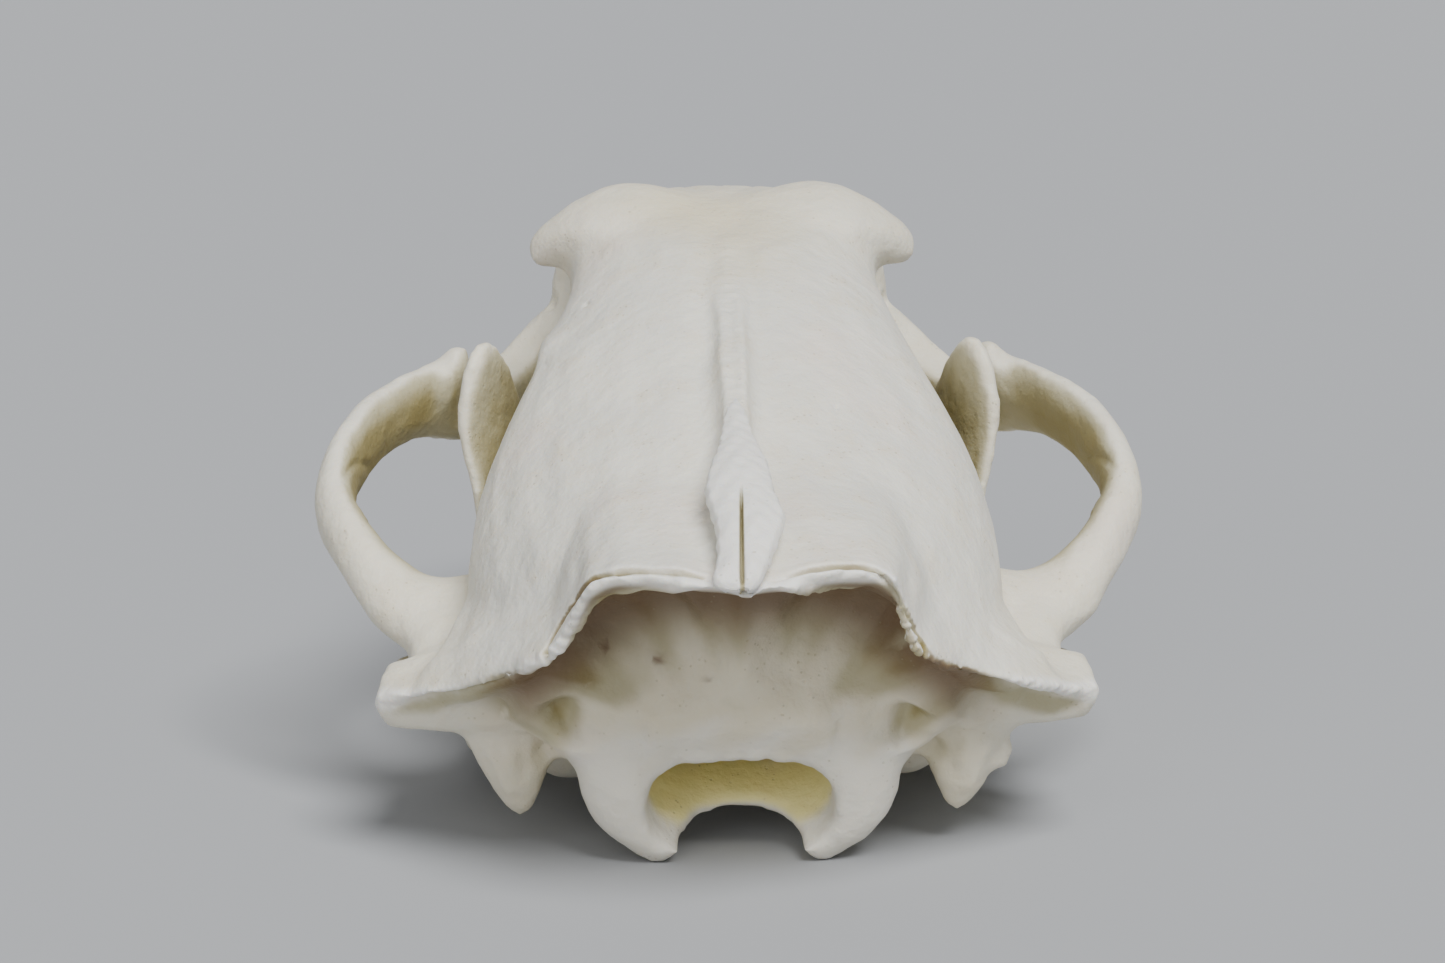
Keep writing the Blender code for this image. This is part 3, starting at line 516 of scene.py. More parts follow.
def uneven(spots, wavelengths, seed):
    """Soft random swells, about from -1 to 1, made of waves that run in random directions."""
    dice = np.random.default_rng(seed)
    total = np.zeros(len(spots))
    for wavelength in wavelengths:
        way = dice.normal(size=3)
        way /= np.linalg.norm(way)
        total += np.sin(spots @ way * 2 * math.pi / wavelength + dice.uniform(0, 2 * math.pi))
    return total / math.sqrt(len(wavelengths))


# %% [markdown]
# The marks are listed from the snout's side to the neck's where that is possible: the temporal lines that
# meet in the low ridge, the troughs beside it, the rims of the orbits, the foramen and the condyles, the
# muscle hollows of the occiput, and the fine lines where bones of the face have met. Pits are where vessels
# and nerves pass. They are carved in the same way, as very short and deep strokes.

# %% Marks on the cranium, as (places, width, height, sides)
BOTH, LEFT, RIGHT, MIDDLE = (1, -1), (1,), (-1,), (1,)
temporal_line = ((23, 84, 37), (17, 78, 42.5), (10, 71, 44.8), (5, 66, 45.4), (2.4, 60, 45.8))
ridge_line = ((2.4, 60, 45.8), (1.7, 50, 46), (1.5, 36, 46.2), (1.3, 22, 46.8))
orbit_rim = ((24, 88.5, 35), (21.5, 95, 36), (20.5, 102, 30), (22.5, 105.5, 21), (27, 104, 13))
foramen_rim = (
    (-9.4, 2.5, 9.0), (-7.6, 2.6, 11.6), (-4, 2.6, 12.4), (0, 2.6, 12.7), (4, 2.6, 12.4), (7.6, 2.6, 11.6),
    (9.4, 2.5, 9.0),
)
condyle_rim = ((9.5, 8.5, 17.2), (13, 9.3, 18.2), (16.8, 9.2, 16.4), (18.8, 8.4, 11.5), (18.4, 7.5, 7))
crest_trough = (
    (0.8, 86, 46), (1.4, 74, 46), (2.4, 62, 46), (3.2, 50, 46), (3.6, 40, 45), (4.2, 28, 45), (5.5, 16, 45),
)
under_the_crest = (
    (-17, -3, 35), (-13, -5, 37.5), (-7, -6, 38.5), (0, -7, 39), (7, -6, 38.5), (13, -5, 37.5), (17, -3, 35),
)
CRANIUM_MARKS = [
    (temporal_line, 1.6, 0.30, BOTH),
    (ridge_line, 0.7, 0.30, BOTH),
    (((0, 62, 46), (0, 50, 46), (0, 36, 46), (0, 22, 46.8)), 0.7, -0.25, MIDDLE),
    (crest_trough, 1.9, -0.42, BOTH),
    (((1.8, 74, 46), (2.6, 60, 46), (3.3, 48, 46), (3.6, 34, 45)), 1.5, -0.22, LEFT),
    (((0, 70, 46), (0, 78, 45), (0, 86, 44), (0, 98, 38)), 5.0, -0.55, MIDDLE),
    (((13, 84, 40), (13, 90, 38), (12.5, 96, 36)), 5.0, 0.15, BOTH),
    (orbit_rim, 1.3, 0.55, BOTH),
    (foramen_rim, 0.8, 0.30, MIDDLE),
    (condyle_rim, 0.7, -0.65, BOTH),
    (((0, 5, 20), (0, 2, 28), (0, -3, 37)), 1.6, 0.55, MIDDLE),
    (((-15, 6, 17), (-8, 5, 17.5), (0, 4.5, 17.5), (8, 5, 17.5), (15, 6, 17)), 3.4, 1.3, MIDDLE),
    (((5, 0, 30), (10, 0, 31), (15, 1, 30), (20, 2, 28)), 5.0, -1.5, BOTH),
    (under_the_crest, 3.2, -2.2, MIDDLE),
    (((7, 5, 19), (12, 5, 22), (18, 4, 26), (23, 3, 27)), 2.2, 0.55, BOTH),
    (((4.5, 3, 24), (7, 1.5, 30), (8.5, -1, 35)), 2.2, -0.55, BOTH),
    (((19.5, -3, 39), (22, 7, 37), (24, 15, 35.5)), 2.6, 0.35, BOTH),
    (((12, 5, 25), (15, 3, 30), (17, 0, 34)), 1.6, -0.40, BOTH),
    (((22, 9, 19), (27, 9, 19), (33, 10.5, 17)), 1.6, -0.6, BOTH),
    (((25, 8.5, 23), (30, 9, 20.5), (36, 11, 17)), 1.2, 0.45, BOTH),
    (((17.5, 127, -2), (16.8, 125, 4), (15.6, 120, 12), (13.5, 113, 19)), 4.0, 1.5, BOTH),
    (((7.5, 125.5, 22), (6.0, 112, 31), (3.5, 98, 38), (0.6, 88, 42.5)), 0.5, -0.22, BOTH),
    (((0, 126, 22), (0, 112, 31), (0, 94, 41)), 0.45, -0.22, MIDDLE),
    (((15.5, 131, 0), (15.8, 127, 12), (10.5, 116, 28), (8.0, 104, 35)), 0.5, -0.2, BOTH),
    (((48.6, 50, 21), (47.6, 57, 20), (46.5, 64, 16)), 0.5, -0.3, BOTH),
    (((42, 36, 12), (48, 44, 13), (49, 56, 15), (44, 68, 15.5), (37, 80, 12)), 1.2, 0.4, BOTH),
    (((26.4, 9.5, 11), (26.2, 8.5, 7), (25.8, 7.5, 3)), 1.3, 0.35, BOTH),
    (((27, 11, 14), (32, 13, 12.5), (38, 14, 11.5)), 1.3, -0.6, BOTH),
    (((29.5, 9.5, 7), (30.5, 10, 8)), 1.2, 1.3, RIGHT),
    (((45.5, 46, 18), (45.8, 47.5, 18.2)), 0.9, 0.25, BOTH),
]
CRANIUM_PITS = [
    (((20.6, 9.4, 14.5), (21.4, 9.6, 11.5)), 1.8, -2.2, BOTH),
    (((22.8, 103.8, 18.6), (22.9, 103.8, 18.2)), 0.8, -1.3, BOTH),
    (((3.2, 132.5, -1.2), (3.2, 134.5, -1.4)), 1.0, -1.6, BOTH),
    (((9.5, 96, 0), (9.6, 97, 0)), 0.7, -1.2, BOTH),
    (((13, 36, 2), (13.2, 36.4, 2)), 1.0, -1.2, BOTH),
    (((24.5, 17.5, 5), (24.8, 17.7, 5)), 0.9, -1.3, BOTH),
    (((14.6, 18, 3), (14.8, 18.2, 3)), 1.2, -1.6, BOTH),
    (((21.5, 66, 20), (21.5, 66.4, 20)), 0.9, -1.4, BOTH),
    (((20.8, 73, 22), (20.8, 73.3, 22)), 0.8, -1.2, BOTH),
    (((18.6, 61, 42), (18.7, 61.2, 42)), 0.4, -0.4, LEFT),
    (((12.4, 30, 44), (12.5, 30.2, 44)), 0.35, -0.4, RIGHT),
]

# %% [markdown]
# Vessels left faint arcs on the roof of the braincase. They fan out from the ridge and bend backwards, more
# the farther back they start. Each is a shallow groove with a low swell along its front, and seeded random
# numbers keep the arcs from lying evenly.

# %% Arcs of vessels on the roof
ARC_SPACING, FIRST_ARC, LAST_ARC = 4.2, 33, 69
ROOF_HALF_WIDTH, ARC_BEND = 22, 0.77

dice = np.random.default_rng(11)
for start in np.arange(FIRST_ARC, LAST_ARC, ARC_SPACING):
    start += dice.uniform(-1, 1)
    bend = (LAST_ARC - start) * ARC_BEND
    places = [
        (out, start - out * 0.2 - bend * (out / ROOF_HALF_WIDTH) ** 2, 45 - out * out / 40)
        for out in (2.5, 7, 12, 17, 21)
    ]
    for shift, width, height in ((0.0, 0.5, -0.05), (1.2, 0.8, 0.03)):
        CRANIUM_MARKS.append(([(p[0], p[1] + shift, p[2]) for p in places], width, height, BOTH))
print("marks and pits of the cranium:", len(CRANIUM_MARKS), len(CRANIUM_PITS))

# %% [markdown]
# ## The nuchal crest's two lips
#
# The free edge of the nuchal crest is the finest thing on the skull: two lips of crumbly young bone with a
# cleft between them. Where they run was read off the photograph, as places in its pixels, and a ray from
# the camera through such a place finds it on the bone. The skin is divided finer there before the cleft is
# cut.

# %% Rays from the camera, and the lips in the photograph's pixels
LEFT_LIP = (  # from the middle outwards: the cleft's x and y, then the lower lip's
    (697, 574, 696, 577), (684, 573, 681, 589), (666, 571.5, 661, 595), (650, 570, 645, 590),
    (631, 570.6, 636, 588), (609, 573, 620, 594), (593, 577, 607, 594), (581, 591, 596, 605),
    (568, 610, 585, 618), (557, 629, 572, 635), (549, 644, 560, 648), (545, 654, 547, 659),
)
RIGHT_LIP = (
    (781, 576, 783, 580), (790, 573, 792, 587), (803, 570, 806, 588), (819, 567.5, 822, 591),
    (838, 566, 838, 588), (858, 565.5, 851, 588), (874, 569, 862, 593), (886, 580, 871, 604),
    (897, 599, 883, 617), (909, 617.5, 896, 630), (918, 636, 909, 642), (924, 648, 921, 654),
)


def ray_through(x, y):
    """The camera's place, and the way of its ray through a place of the photograph."""
    way = Vector(((x - PHOTO_WIDTH / 2) / PHOTO_FOCUS, (PHOTO_HEIGHT / 2 - y) / PHOTO_FOCUS, -1))
    return camera.matrix_world.translation, (camera.matrix_world.to_3x3() @ way).normalized()


def seen(tree, places):
    """Where places of the photograph lie on the bone."""
    hits = [tree.ray_cast(*ray_through(*place))[0] for place in places]
    return to_skull(np.array([hit for hit in hits if hit is not None]))


# %% [markdown]
# In the photograph the flanks of the crest are steeper than in the plain model, the right one more, so they
# are drawn towards the middle a little. Then the rays find the cleft and the lip, and where one misses the
# crest its place is left out. Smoothing the found places a few times takes the small errors of reading
# away.

# %% Find the cleft and the lips on the bone
FARTHEST = 4.0  # millimetres from the crest's edge at which a ray has missed it
FLANK_OUT, FLANK_REACH = 24, 6.5  # the flanks lie that far out, and the shift fades over that reach
RIGHT_SHIFT, LEFT_SHIFT = 2.3, -0.8


def refined(obj, curve, reach):
    """Halves the edges of an object within some millimetres of a curve."""
    spots, _ = surface(obj)
    near = near_curve(curve, spots)[0] < reach
    shape = bmesh.new()
    shape.from_mesh(obj.data)
    edges = [edge for edge in shape.edges if near[edge.verts[0].index] and near[edge.verts[1].index]]
    bmesh.ops.subdivide_edges(shape, edges=edges, cuts=1, use_grid_fill=True, smooth=0.6)
    shape.to_mesh(obj.data)
    shape.free()


refined(cranium, firm_edge, 3.4)
spots, _ = surface(cranium)
flank = np.exp(-(near_curve(nuchal_line, spots)[0] / FLANK_REACH) ** 2)
flank = flank * np.clip(1.6 - np.abs(np.abs(spots[:, 0]) - FLANK_OUT) / 5, 0, 1)
spots[:, 0] += np.where(spots[:, 0] < 0, RIGHT_SHIFT, LEFT_SHIFT) * flank
put(cranium, spots)
tree = tree_of(cranium)
clefts, lips = [], []
for lip in (LEFT_LIP, RIGHT_LIP):
    rows = spline([(*row[:2], 0, *row[2:]) for row in lip], 4.0)
    for found, places in ((clefts, rows[:, :2]), (lips, rows[:, 3:])):
        spots = seen(tree, places)
        spots = spots[near_curve(nuchal_line, spots)[0] < FARTHEST]
        for _ in range(4):
            spots[1:-1] = (spots[:-2] + 2 * spots[1:-1] + spots[2:]) / 4
        found.append(laid_on(tree, spots))
print("cleft and lower lip:", [len(found) for found in (*clefts, *lips)], "places found")

# %% [markdown]
# Hollows, ridges and stains on the back of the skull can be read off the photograph too, and so can where
# olive painted shade lies in the hollows, partly stain. The hollows beside the condyles are the deepest.
# Young bone along the upper rim of the foramen stands in small beads.

# %% Marks, stains and painted shade that show in the photograph, as places in its pixels
SEEN_MARKS = (  # places, width and height in millimetres
    (((550, 700), (563, 724), (570, 752)), 2.6, -3.0), (((921, 708), (908, 727), (901, 752)), 2.6, -3.0),
    (((592, 716), (583, 732), (581, 748)), 0.9, 0.5), (((880, 716), (890, 731), (893, 748)), 0.9, 0.5),
    (((392, 708), (425, 706), (468, 695), (508, 682), (538, 670)), 1.8, -2.2),
    (((1084, 698), (1052, 706), (1010, 694), (975, 683), (945, 670)), 1.8, -2.2),
    (((486, 738), (500, 772), (513, 797)), 0.8, 0.45), (((990, 735), (978, 765), (965, 792)), 0.8, 0.45),
    (((512, 730), (522, 757), (524, 782)), 1.0, -0.55), (((962, 728), (953, 755), (950, 780)), 1.0, -0.55),
    (((470, 722), (500, 722), (530, 715)), 1.0, 0.45), (((1005, 720), (975, 722), (946, 714)), 1.0, 0.45),
    (((622, 640), (660, 668), (690, 700)), 1.6, 0.35), (((860, 640), (822, 668), (792, 700)), 1.6, 0.35),
    (((600, 655), (640, 690), (665, 722)), 2.0, -0.4), (((882, 655), (842, 690), (817, 722)), 2.0, -0.4),
    (((690, 757), (695, 758)), 0.9, 0.4), (((708, 757), (712, 757)), 0.8, 0.35),
    (((728, 755), (732, 755)), 0.9, 0.4),
    (((752, 755), (757, 755)), 1.0, 0.4), (((778, 757), (783, 757)), 0.9, 0.35),
    (((553, 333), (550, 350)), 2.4, 0.9),
)
# olive painted shade in the hollows, partly stain: places, radius in millimetres, strength
STAINS_AND_PAINTED_SHADE = (  # olive in the hollows: places, radius in millimetres, strength
    (((560, 714), (571, 752)), 3.2, 0.5), (((911, 716), (900, 752)), 3.2, 0.5),
    (((395, 708), (430, 706), (468, 695), (508, 682), (540, 670)), 1.7, 0.55),
    (((1082, 698), (1052, 706), (1010, 694), (975, 683), (943, 670)), 1.7, 0.55),
    (((570, 668), (598, 678), (628, 690)), 2.8, 0.33), (((908, 664), (880, 676), (850, 688)), 2.8, 0.33),
    (((728, 705), (742, 712)), 1.6, 0.3),
)
FOREHEAD_BLUSH = ((700, 215), (741, 235), (738, 262))

seen_strokes = [
    ([tuple(spot) for spot in seen(tree, places)], width, height, MIDDLE)
    for places, width, height in SEEN_MARKS
]
print("marks read off the photograph:", len(seen_strokes))

# %% [markdown]
# All strokes are added up and applied at once. Over them come soft swells all over the bone, crumbs along
# the free edge of the crest and on the ridge, and the cleft with its lobed lower lip. The right flank of
# the crest is thin, so its cleft stays shallow, or it would cut through.

# %% Carve the cranium
CLEFT_WIDTH, LIP_WIDTH = 0.48, 1.0
CLEFT_DEPTH, THIN_CLEFT_DEPTH = 1.15, 0.60


def in_cleft(spots):
    """From 1 at the bottom of the cleft to 0 away from it."""
    return np.exp(-(np.minimum(*(near_curve(cleft, spots)[0] for cleft in clefts)) / CLEFT_WIDTH) ** 2)


def on_lip(spots):
    """From 1 on the lower lip to 0 away from it."""
    return np.exp(-(np.minimum(*(near_curve(lip, spots)[0] for lip in lips)) / LIP_WIDTH) ** 2)


spots, normals = surface(cranium)
spots = carved(spots, normals, tree, CRANIUM_MARKS + CRANIUM_PITS + seen_strokes)
out = np.abs(spots[:, 0])
edge = np.exp(-(near_curve(nuchal_line + (0, 0.2, -1.0), spots)[0] / 1.0) ** 2)
crumbly = 0.2 + 0.8 * np.clip((out - 15) / 4, 0, 1) * np.clip((38 - out) / 8, 0, 1)
crumbs = uneven(spots, [0.9, 1.1, 1.3, 1.6, 2.0, 2.6, 3.4], 3)
swells = uneven(spots, (3.1, 4, 5, 6, 7.5, 10, 14), 4)
lobes = 0.5 + 0.5 * np.sin(out * 1.15 + 0.8 * np.sin(out * 0.43))
thin = np.clip((-13 - spots[:, 0]) / 3, 0, 1)
rise = edge * (0.10 + 0.26 * crumbly * crumbs) + 0.055 * swells
rise = rise - (CLEFT_DEPTH + (THIN_CLEFT_DEPTH - CLEFT_DEPTH) * thin) * in_cleft(spots)
rise = rise + on_lip(spots) * (0.30 + (0.42 - 0.22 * thin) * lobes + (0.15 + 0.1 * thin) * crumbs)
ridge = near_curve(((0, 66, 46), (0, 44, 46), (0, 22, 46.8)), spots)[0]
rise = rise + 0.13 * np.exp(-(ridge / 1.8) ** 2) * crumbs
spots = spots + normals * rise[:, None]
high, narrow, behind = (spots[:, 2] - 44.5) / 1.5, (6.5 - out) / 1.5, (19 - spots[:, 1]) / 4
stalk = np.clip(high, 0, 1) * np.clip(narrow, 0, 1) * np.clip(behind, 0, 1)
spots[:, 0] *= 1 - 0.35 * stalk  # under the leaf the crest is drawn in, to be the leaf's stalk
spots[:, 2] -= 1.0 * stalk
put(cranium, spots)
print("carved:", len(CRANIUM_MARKS) + len(CRANIUM_PITS) + len(seen_strokes), "strokes on the cranium")

# %% [markdown]
# The lower jaw has swellings round the roots of the front teeth, the ridge that bounds the hollow of the
# chewing muscle, two nerve holes on the outside of the chin, and one on the inside near the hinge.

# %% Marks on the lower jaw
def jaw_marks(side):
    return [
        (((8.5, 134, -9), (9.5, 134.5, -11.5), (9.5, 133, -15)), 3.0, 1.1, (side,)),
        (((2.2, 135.4, -10.6), (2.3, 134.6, -10.6)), 1.8, 0.9, (side,)),
        (((31.5, 40, 0), (32, 48, -8), (31, 60, -11), (30, 69, -6), (31.5, 71, 4)), 1.3, 0.5, (side,)),
        (((20.0, 104, -17), (20.1, 104.6, -17)), 0.8, -1.3, (side,)),
        (((17.4, 113, -16.5), (17.3, 113.6, -16.5)), 0.8, -1.3, (side,)),
        (((26.2, 49, 0), (26.3, 49.5, 0)), 1.0, -1.2, (side,)),
        (((30.6, 44, 6), (30.8, 42, 18), (31.5, 47, 30)), 1.0, 0.3, (side,)),
    ]


for side, word in SIDES:
    spots, normals = surface(jaws[word])
    spots = carved(spots, normals, tree_of(jaws[word]), jaw_marks(side))
    put(jaws[word], spots + normals * (0.06 * uneven(spots, (4, 5, 6.5, 8, 11), 5))[:, None])

# %% [markdown]
# ## The leaf on the sagittal crest
#
# In an old male the rear of the sagittal crest spreads into a plate shaped like a willow leaf, gently
# domed, with a wavy free edge and a cleft along its rear half. It is too crisp for the remeshed skin, so it
# is its own piece: a grid, pulled to the leaf's outline, then extruded down and drawn in, so that it grows
# from the crest.

# %% The leaf-shaped plate
LEAF_THICKNESS = 2.3
LEAF_WAIST = 0.62  # how far its underside is drawn in
LEAF_CLEFT_DEPTH = 0.9
LEAF_CLEFT_BEND = 0.4  # how far the cleft has bent to the left where it ends


def bend_of_cleft(forward):
    return LEAF_CLEFT_BEND * np.clip((2 - forward) / 17, 0, 1)


leaf_line = spline(LEAF, 0.3)
shape = bmesh.new()
bmesh.ops.create_grid(shape, x_segments=84, y_segments=160, size=1.0)
for vert in shape.verts:
    length = (vert.co.y + 1) / 2 * (len(leaf_line) - 1)
    low = min(int(length), len(leaf_line) - 2)
    forward, left, right, top = leaf_line[low] + (leaf_line[low + 1] - leaf_line[low]) * (length - low)
    t = math.copysign(abs(vert.co.x) ** 1.45, vert.co.x)  # rows of points lie closest along the middle
    reach = (left if t > 0 else right) + 0.07 * math.sin(forward * 2.2 + 3 * math.copysign(1, t))
    side = t * reach
    full = min(1, (left + right) / 7)
    off = side - bend_of_cleft(forward)
    dome = full * (1.15 * (1 - t * t) - 0.30 * math.exp(-off * off) * min(1, max(0, (4 - forward) / 8)))
    fall = 0.9 * full * max(0, (abs(t) - 0.86) / 0.14) ** 2.2
    wide = 0.07 + 0.19 * min(1, max(0, (2 - forward) / 18)) ** 1.3
    opened = min(1, max(0, (0.5 - forward) / 5), (forward + 16.7) / 0.9)
    sunk = LEAF_CLEFT_DEPTH * opened * math.exp(-(off / wide) ** 2)
    grain = 0.05 * math.sin(side * 2.3 + forward * 1.1) + 0.04 * math.sin(forward * 2.3 - side * 2.1)
    vert.co = Vector((side, forward, top + dome - fall - sunk + grain))
under = bmesh.ops.extrude_face_region(shape, geom=shape.faces[:], use_keep_orig=True)["geom"]
for vert in (element for element in under if isinstance(element, bmesh.types.BMVert)):
    thickness = LEAF_THICKNESS * min(1, 0.45 + max(0, vert.co.y + 16) / 14)
    vert.co = Vector((vert.co.x * LEAF_WAIST, max(vert.co.y, -15.4), min(vert.co.z, 48) - thickness))
rim = [edge for edge in shape.edges if edge.calc_face_angle(0) > 1.0]
bmesh.ops.bevel(shape, geom=rim, offset=0.22, segments=3, affect="EDGES", profile=0.5, material=-1)
leaf = placed_mesh("sagittal_crest_leaf", shape)
print("leaf:", len(leaf.data.polygons), "faces,", len(rim), "edges rolled")

# %% [markdown]
# ## Tubes along a path
#
# Canines are drawn out like clay: a ring of points, extruded again and again along the tooth's curve, with
# another radius at every step.

# %% Draw a ring out along a path
def drawn_out(rows, corners, upright):
    """A bmesh tube: a circle extruded from row to row of (side, forward, up, half height, half thickness)."""
    shape = bmesh.new()
    corner_of = shape.verts.layers.float.new("corner")
    bmesh.ops.create_circle(shape, cap_ends=False, segments=corners, radius=1.0)
    for vert in shape.verts:
        vert[corner_of] = math.atan2(vert.co.y, vert.co.x)
    ring, centres = list(shape.verts), [Vector(row[:3]) for row in rows]
    for i, row in enumerate(rows):
        if i:
            edges = [edge for edge in shape.edges if edge.verts[0] in ring_set and edge.verts[1] in ring_set]
            made = bmesh.ops.extrude_edge_only(shape, edges=edges)["geom"]
            ring = [element for element in made if isinstance(element, bmesh.types.BMVert)]
        ring_set = set(ring)
        along = (centres[min(i + 1, len(rows) - 1)] - centres[max(i - 1, 0)]).normalized()
        rising = (Vector(upright) - along * Vector(upright).dot(along)).normalized()
        across = along.cross(rising)
        for vert in ring:
            angle = vert[corner_of]
            vert.co = centres[i] + rising * math.sin(angle) * row[3] + across * math.cos(angle) * row[4]
    bmesh.ops.holes_fill(shape, edges=[edge for edge in shape.edges if edge.is_boundary], sides=corners)
    return shape


# %% [markdown]
# ## Teeth
#
# A wolverine has 38 teeth. Three upper and three lower incisors, a canine, four premolars, one upper and
# two lower molars stand on each side, and the shearing pair of upper fourth premolar and lower first molar
# is the largest. A tooth is built from its cusps: each starts as a sphere, which is pulled out to a point
# above the gum and to a root below it. A fine voxel remesh then fuses the cusps of one tooth.

# %% Places of the teeth, as in the CAD model: side, forward, half length, half width, height, turn
UPPER_GUM, LOWER_GUM = -2.6, -9.8
UPPER_TEETH = {
    "incisor_1": ((1.9, 141.4, 2.0, 1.6, 5.0, 0),),
    "incisor_2": ((5.2, 141.0, 2.1, 1.7, 5.4, 8),),
    "incisor_3": ((8.8, 139.8, 2.7, 2.3, 8.6, 20),),
    "premolar_1": ((17.6, 120.4, 2.2, 1.7, 3.0, 10),),
    "premolar_2": ((18.6, 114.8, 3.9, 2.2, 5.2, 14),),
    "premolar_3": ((21.3, 106.2, 4.6, 2.7, 6.6, 16), (22.5, 102.4, 2.2, 2.3, 3.4, 16)),
    "premolar_4": (
        (24.9, 93.2, 6.0, 3.6, 9.0, 14), (26.9, 84.6, 5.4, 3.0, 6.6, 10), (20.4, 97.6, 2.8, 2.8, 3.6, 0),
    ),
    "molar_1": (
        (25.4, 76.4, 3.6, 3.0, 3.8, 0), (20.8, 76.0, 3.0, 3.4, 2.8, 0), (16.6, 75.6, 3.8, 3.0, 3.6, 0),
    ),
}
LOWER_TEETH = {
    "incisor_1": ((2.2, 135.2, 1.5, 1.2, 4.2, 0),),
    "incisor_2": ((4.6, 134.9, 1.7, 1.3, 4.4, 0),),
    "incisor_3": ((7.1, 134.6, 1.7, 1.5, 4.3, 10),),
    "premolar_1": ((11.0, 125.8, 1.7, 1.4, 2.6, 10),),
    "premolar_2": ((12.0, 120.4, 3.4, 2.0, 4.6, 14),),
    "premolar_3": ((13.8, 112.6, 4.2, 2.4, 6.0, 16),),
    "premolar_4": ((15.4, 103.2, 5.0, 2.6, 6.4, 16), (16.8, 98.8, 2.0, 2.2, 3.6, 16)),
    "molar_1": (
        (17.7, 92.2, 4.4, 2.7, 6.8, 14), (19.0, 85.8, 4.8, 2.9, 7.6, 12), (21.2, 78.6, 4.6, 2.8, 2.2, 10),
    ),
    "molar_2": ((22.8, 71.9, 2.2, 2.1, 1.6, 0),),
}
UPPER_CANINE = (  # from the root to the tip: side, forward, up, half length, half width
    (15.4, 127.0, 4.0, 2.6, 2.0), (16.2, 127.2, 0.5, 4.0, 3.2), (16.8, 127.4, -3.0, 4.9, 3.8),
    (17.9, 127.6, -9.0, 4.1, 3.2), (18.6, 127.2, -14.0, 3.0, 2.4), (19.0, 126.2, -18.0, 1.7, 1.4),
    (19.1, 125.5, -20.0, 0.7, 0.6), (19.1, 125.3, -20.5, 0.2, 0.2),
)
LOWER_CANINE = (
    (9.4, 127.6, -13.5, 2.6, 2.0), (10.3, 130.2, -9.5, 4.0, 3.1), (11.8, 133.2, -5.0, 3.2, 2.6),
    (13.0, 134.8, -1.4, 2.2, 1.9), (13.9, 135.4, 0.4, 1.3, 1.2), (14.2, 135.5, 1.4, 0.6, 0.6),
    (14.3, 135.5, 1.8, 0.2, 0.2),
)
WORN = ("incisor_1", "incisor_2")  # the middle incisors end in a blunt edge
POINTED, BLUNT = 1.35, 3.0
ROOT = 3.0  # how deep a tooth's root reaches into the bone
TOOTH_VOXEL = 0.26


def cusp(shape, side, gum, tip, row, blunt):
    """Adds one cusp to a tooth. The tip is 1 for a lower tooth and -1 for an upper one."""
    out, forward, half_length, half_width, height, turned = row
    turned = math.radians(turned)
    for vert in bmesh.ops.create_uvsphere(shape, u_segments=20, v_segments=14, radius=1.0)["verts"]:
        flat = math.hypot(vert.co.x, vert.co.y) or 1.0
        if vert.co.z > 0:
            reach, rise = (1 - vert.co.z ** blunt) ** 0.8, vert.co.z * height
        else:
            reach, rise = (1 - abs(vert.co.z) ** 4) ** 0.25 * (1 + 0.12 * vert.co.z), vert.co.z * ROOT
        blade = 1 - 0.3 * max(0, vert.co.z)
        length = vert.co.y / flat * reach * half_length
        width = vert.co.x / flat * reach * half_width * blade
        leaning = max(0, rise) * (0.06 if tip < 0 else 0.03)  # tips lean back a little, the upper ones more
        vert.co = Vector((
            side * (out - length * math.sin(turned) + width * math.cos(turned)),
            forward + length * math.cos(turned) + width * math.sin(turned) - leaning,
            gum + tip * rise,
        ))


def tooth(name, shape):
    """A tooth with its cusps fused."""
    obj = placed_mesh(name, shape)
    remesh = obj.modifiers.new("fused", "REMESH")
    remesh.mode, remesh.voxel_size = "VOXEL", TOOTH_VOXEL * MM
    soft = obj.modifiers.new("worn", "SMOOTH")
    soft.iterations = 3
    return settle(obj)


# %% [markdown]
# Every tooth is made once for each side, with its side turned round by a sign, because a mirrored copy
# would turn its faces inwards. The names say where a tooth stands.

# %% Set the teeth
teeth = []
for jaw_word, table, canine, gum, tip in (
    ("upper", UPPER_TEETH, UPPER_CANINE, UPPER_GUM, -1), ("lower", LOWER_TEETH, LOWER_CANINE, LOWER_GUM, 1),
):
    for side, word in SIDES:
        for kind, rows in table.items():
            shape = bmesh.new()
            for row in rows:
                cusp(shape, side, gum, tip, row, BLUNT if kind in WORN else POINTED)
            teeth.append(tooth(f"{jaw_word}_{word}_{kind}", shape))
        path = spline([(side * row[0], *row[1:]) for row in canine], 0.8)
        teeth.append(tooth(f"{jaw_word}_{word}_canine", drawn_out(path, 20, (0, 1, 0))))
print("teeth:", len(teeth), "with", sum(len(one.data.polygons) for one in teeth), "faces")

# %% [markdown]
# ## Thin the skins
#
# The carved skins have far more faces than their flat stretches need. Collapsing edges where that changes
# the shape least keeps the marks and leaves the rest coarse, well under 200,000 triangles a piece.

# %% Thin the bones
MOST_TRIANGLES = {"cranium": 185000, "lower_jaw_left": 60000, "lower_jaw_right": 60000}

for bone in (cranium, *jaws.values()):
    triangles = 2 * len(bone.data.polygons)
    if triangles > MOST_TRIANGLES[bone.name]:
        plain = bone.vertex_groups.new(name="plain")
        spots, _ = surface(bone)
        fine = near_curve(firm_edge, spots)[0] < 3.0  # the crest's edge keeps all its faces
        plain.add(np.flatnonzero(~fine).tolist(), 1.0, "REPLACE")
        thin = bone.modifiers.new("thin", "DECIMATE")
        thin.vertex_group = "plain"
        thin.ratio = MOST_TRIANGLES[bone.name] / triangles
        settle(bone)
    for vert in bone.data.vertices:
        vert.co.z = max(vert.co.z, 0)  # nothing reaches through the table
    print(bone.name, "has", sum(len(polygon.vertices) - 2 for polygon in bone.data.polygons), "triangles")
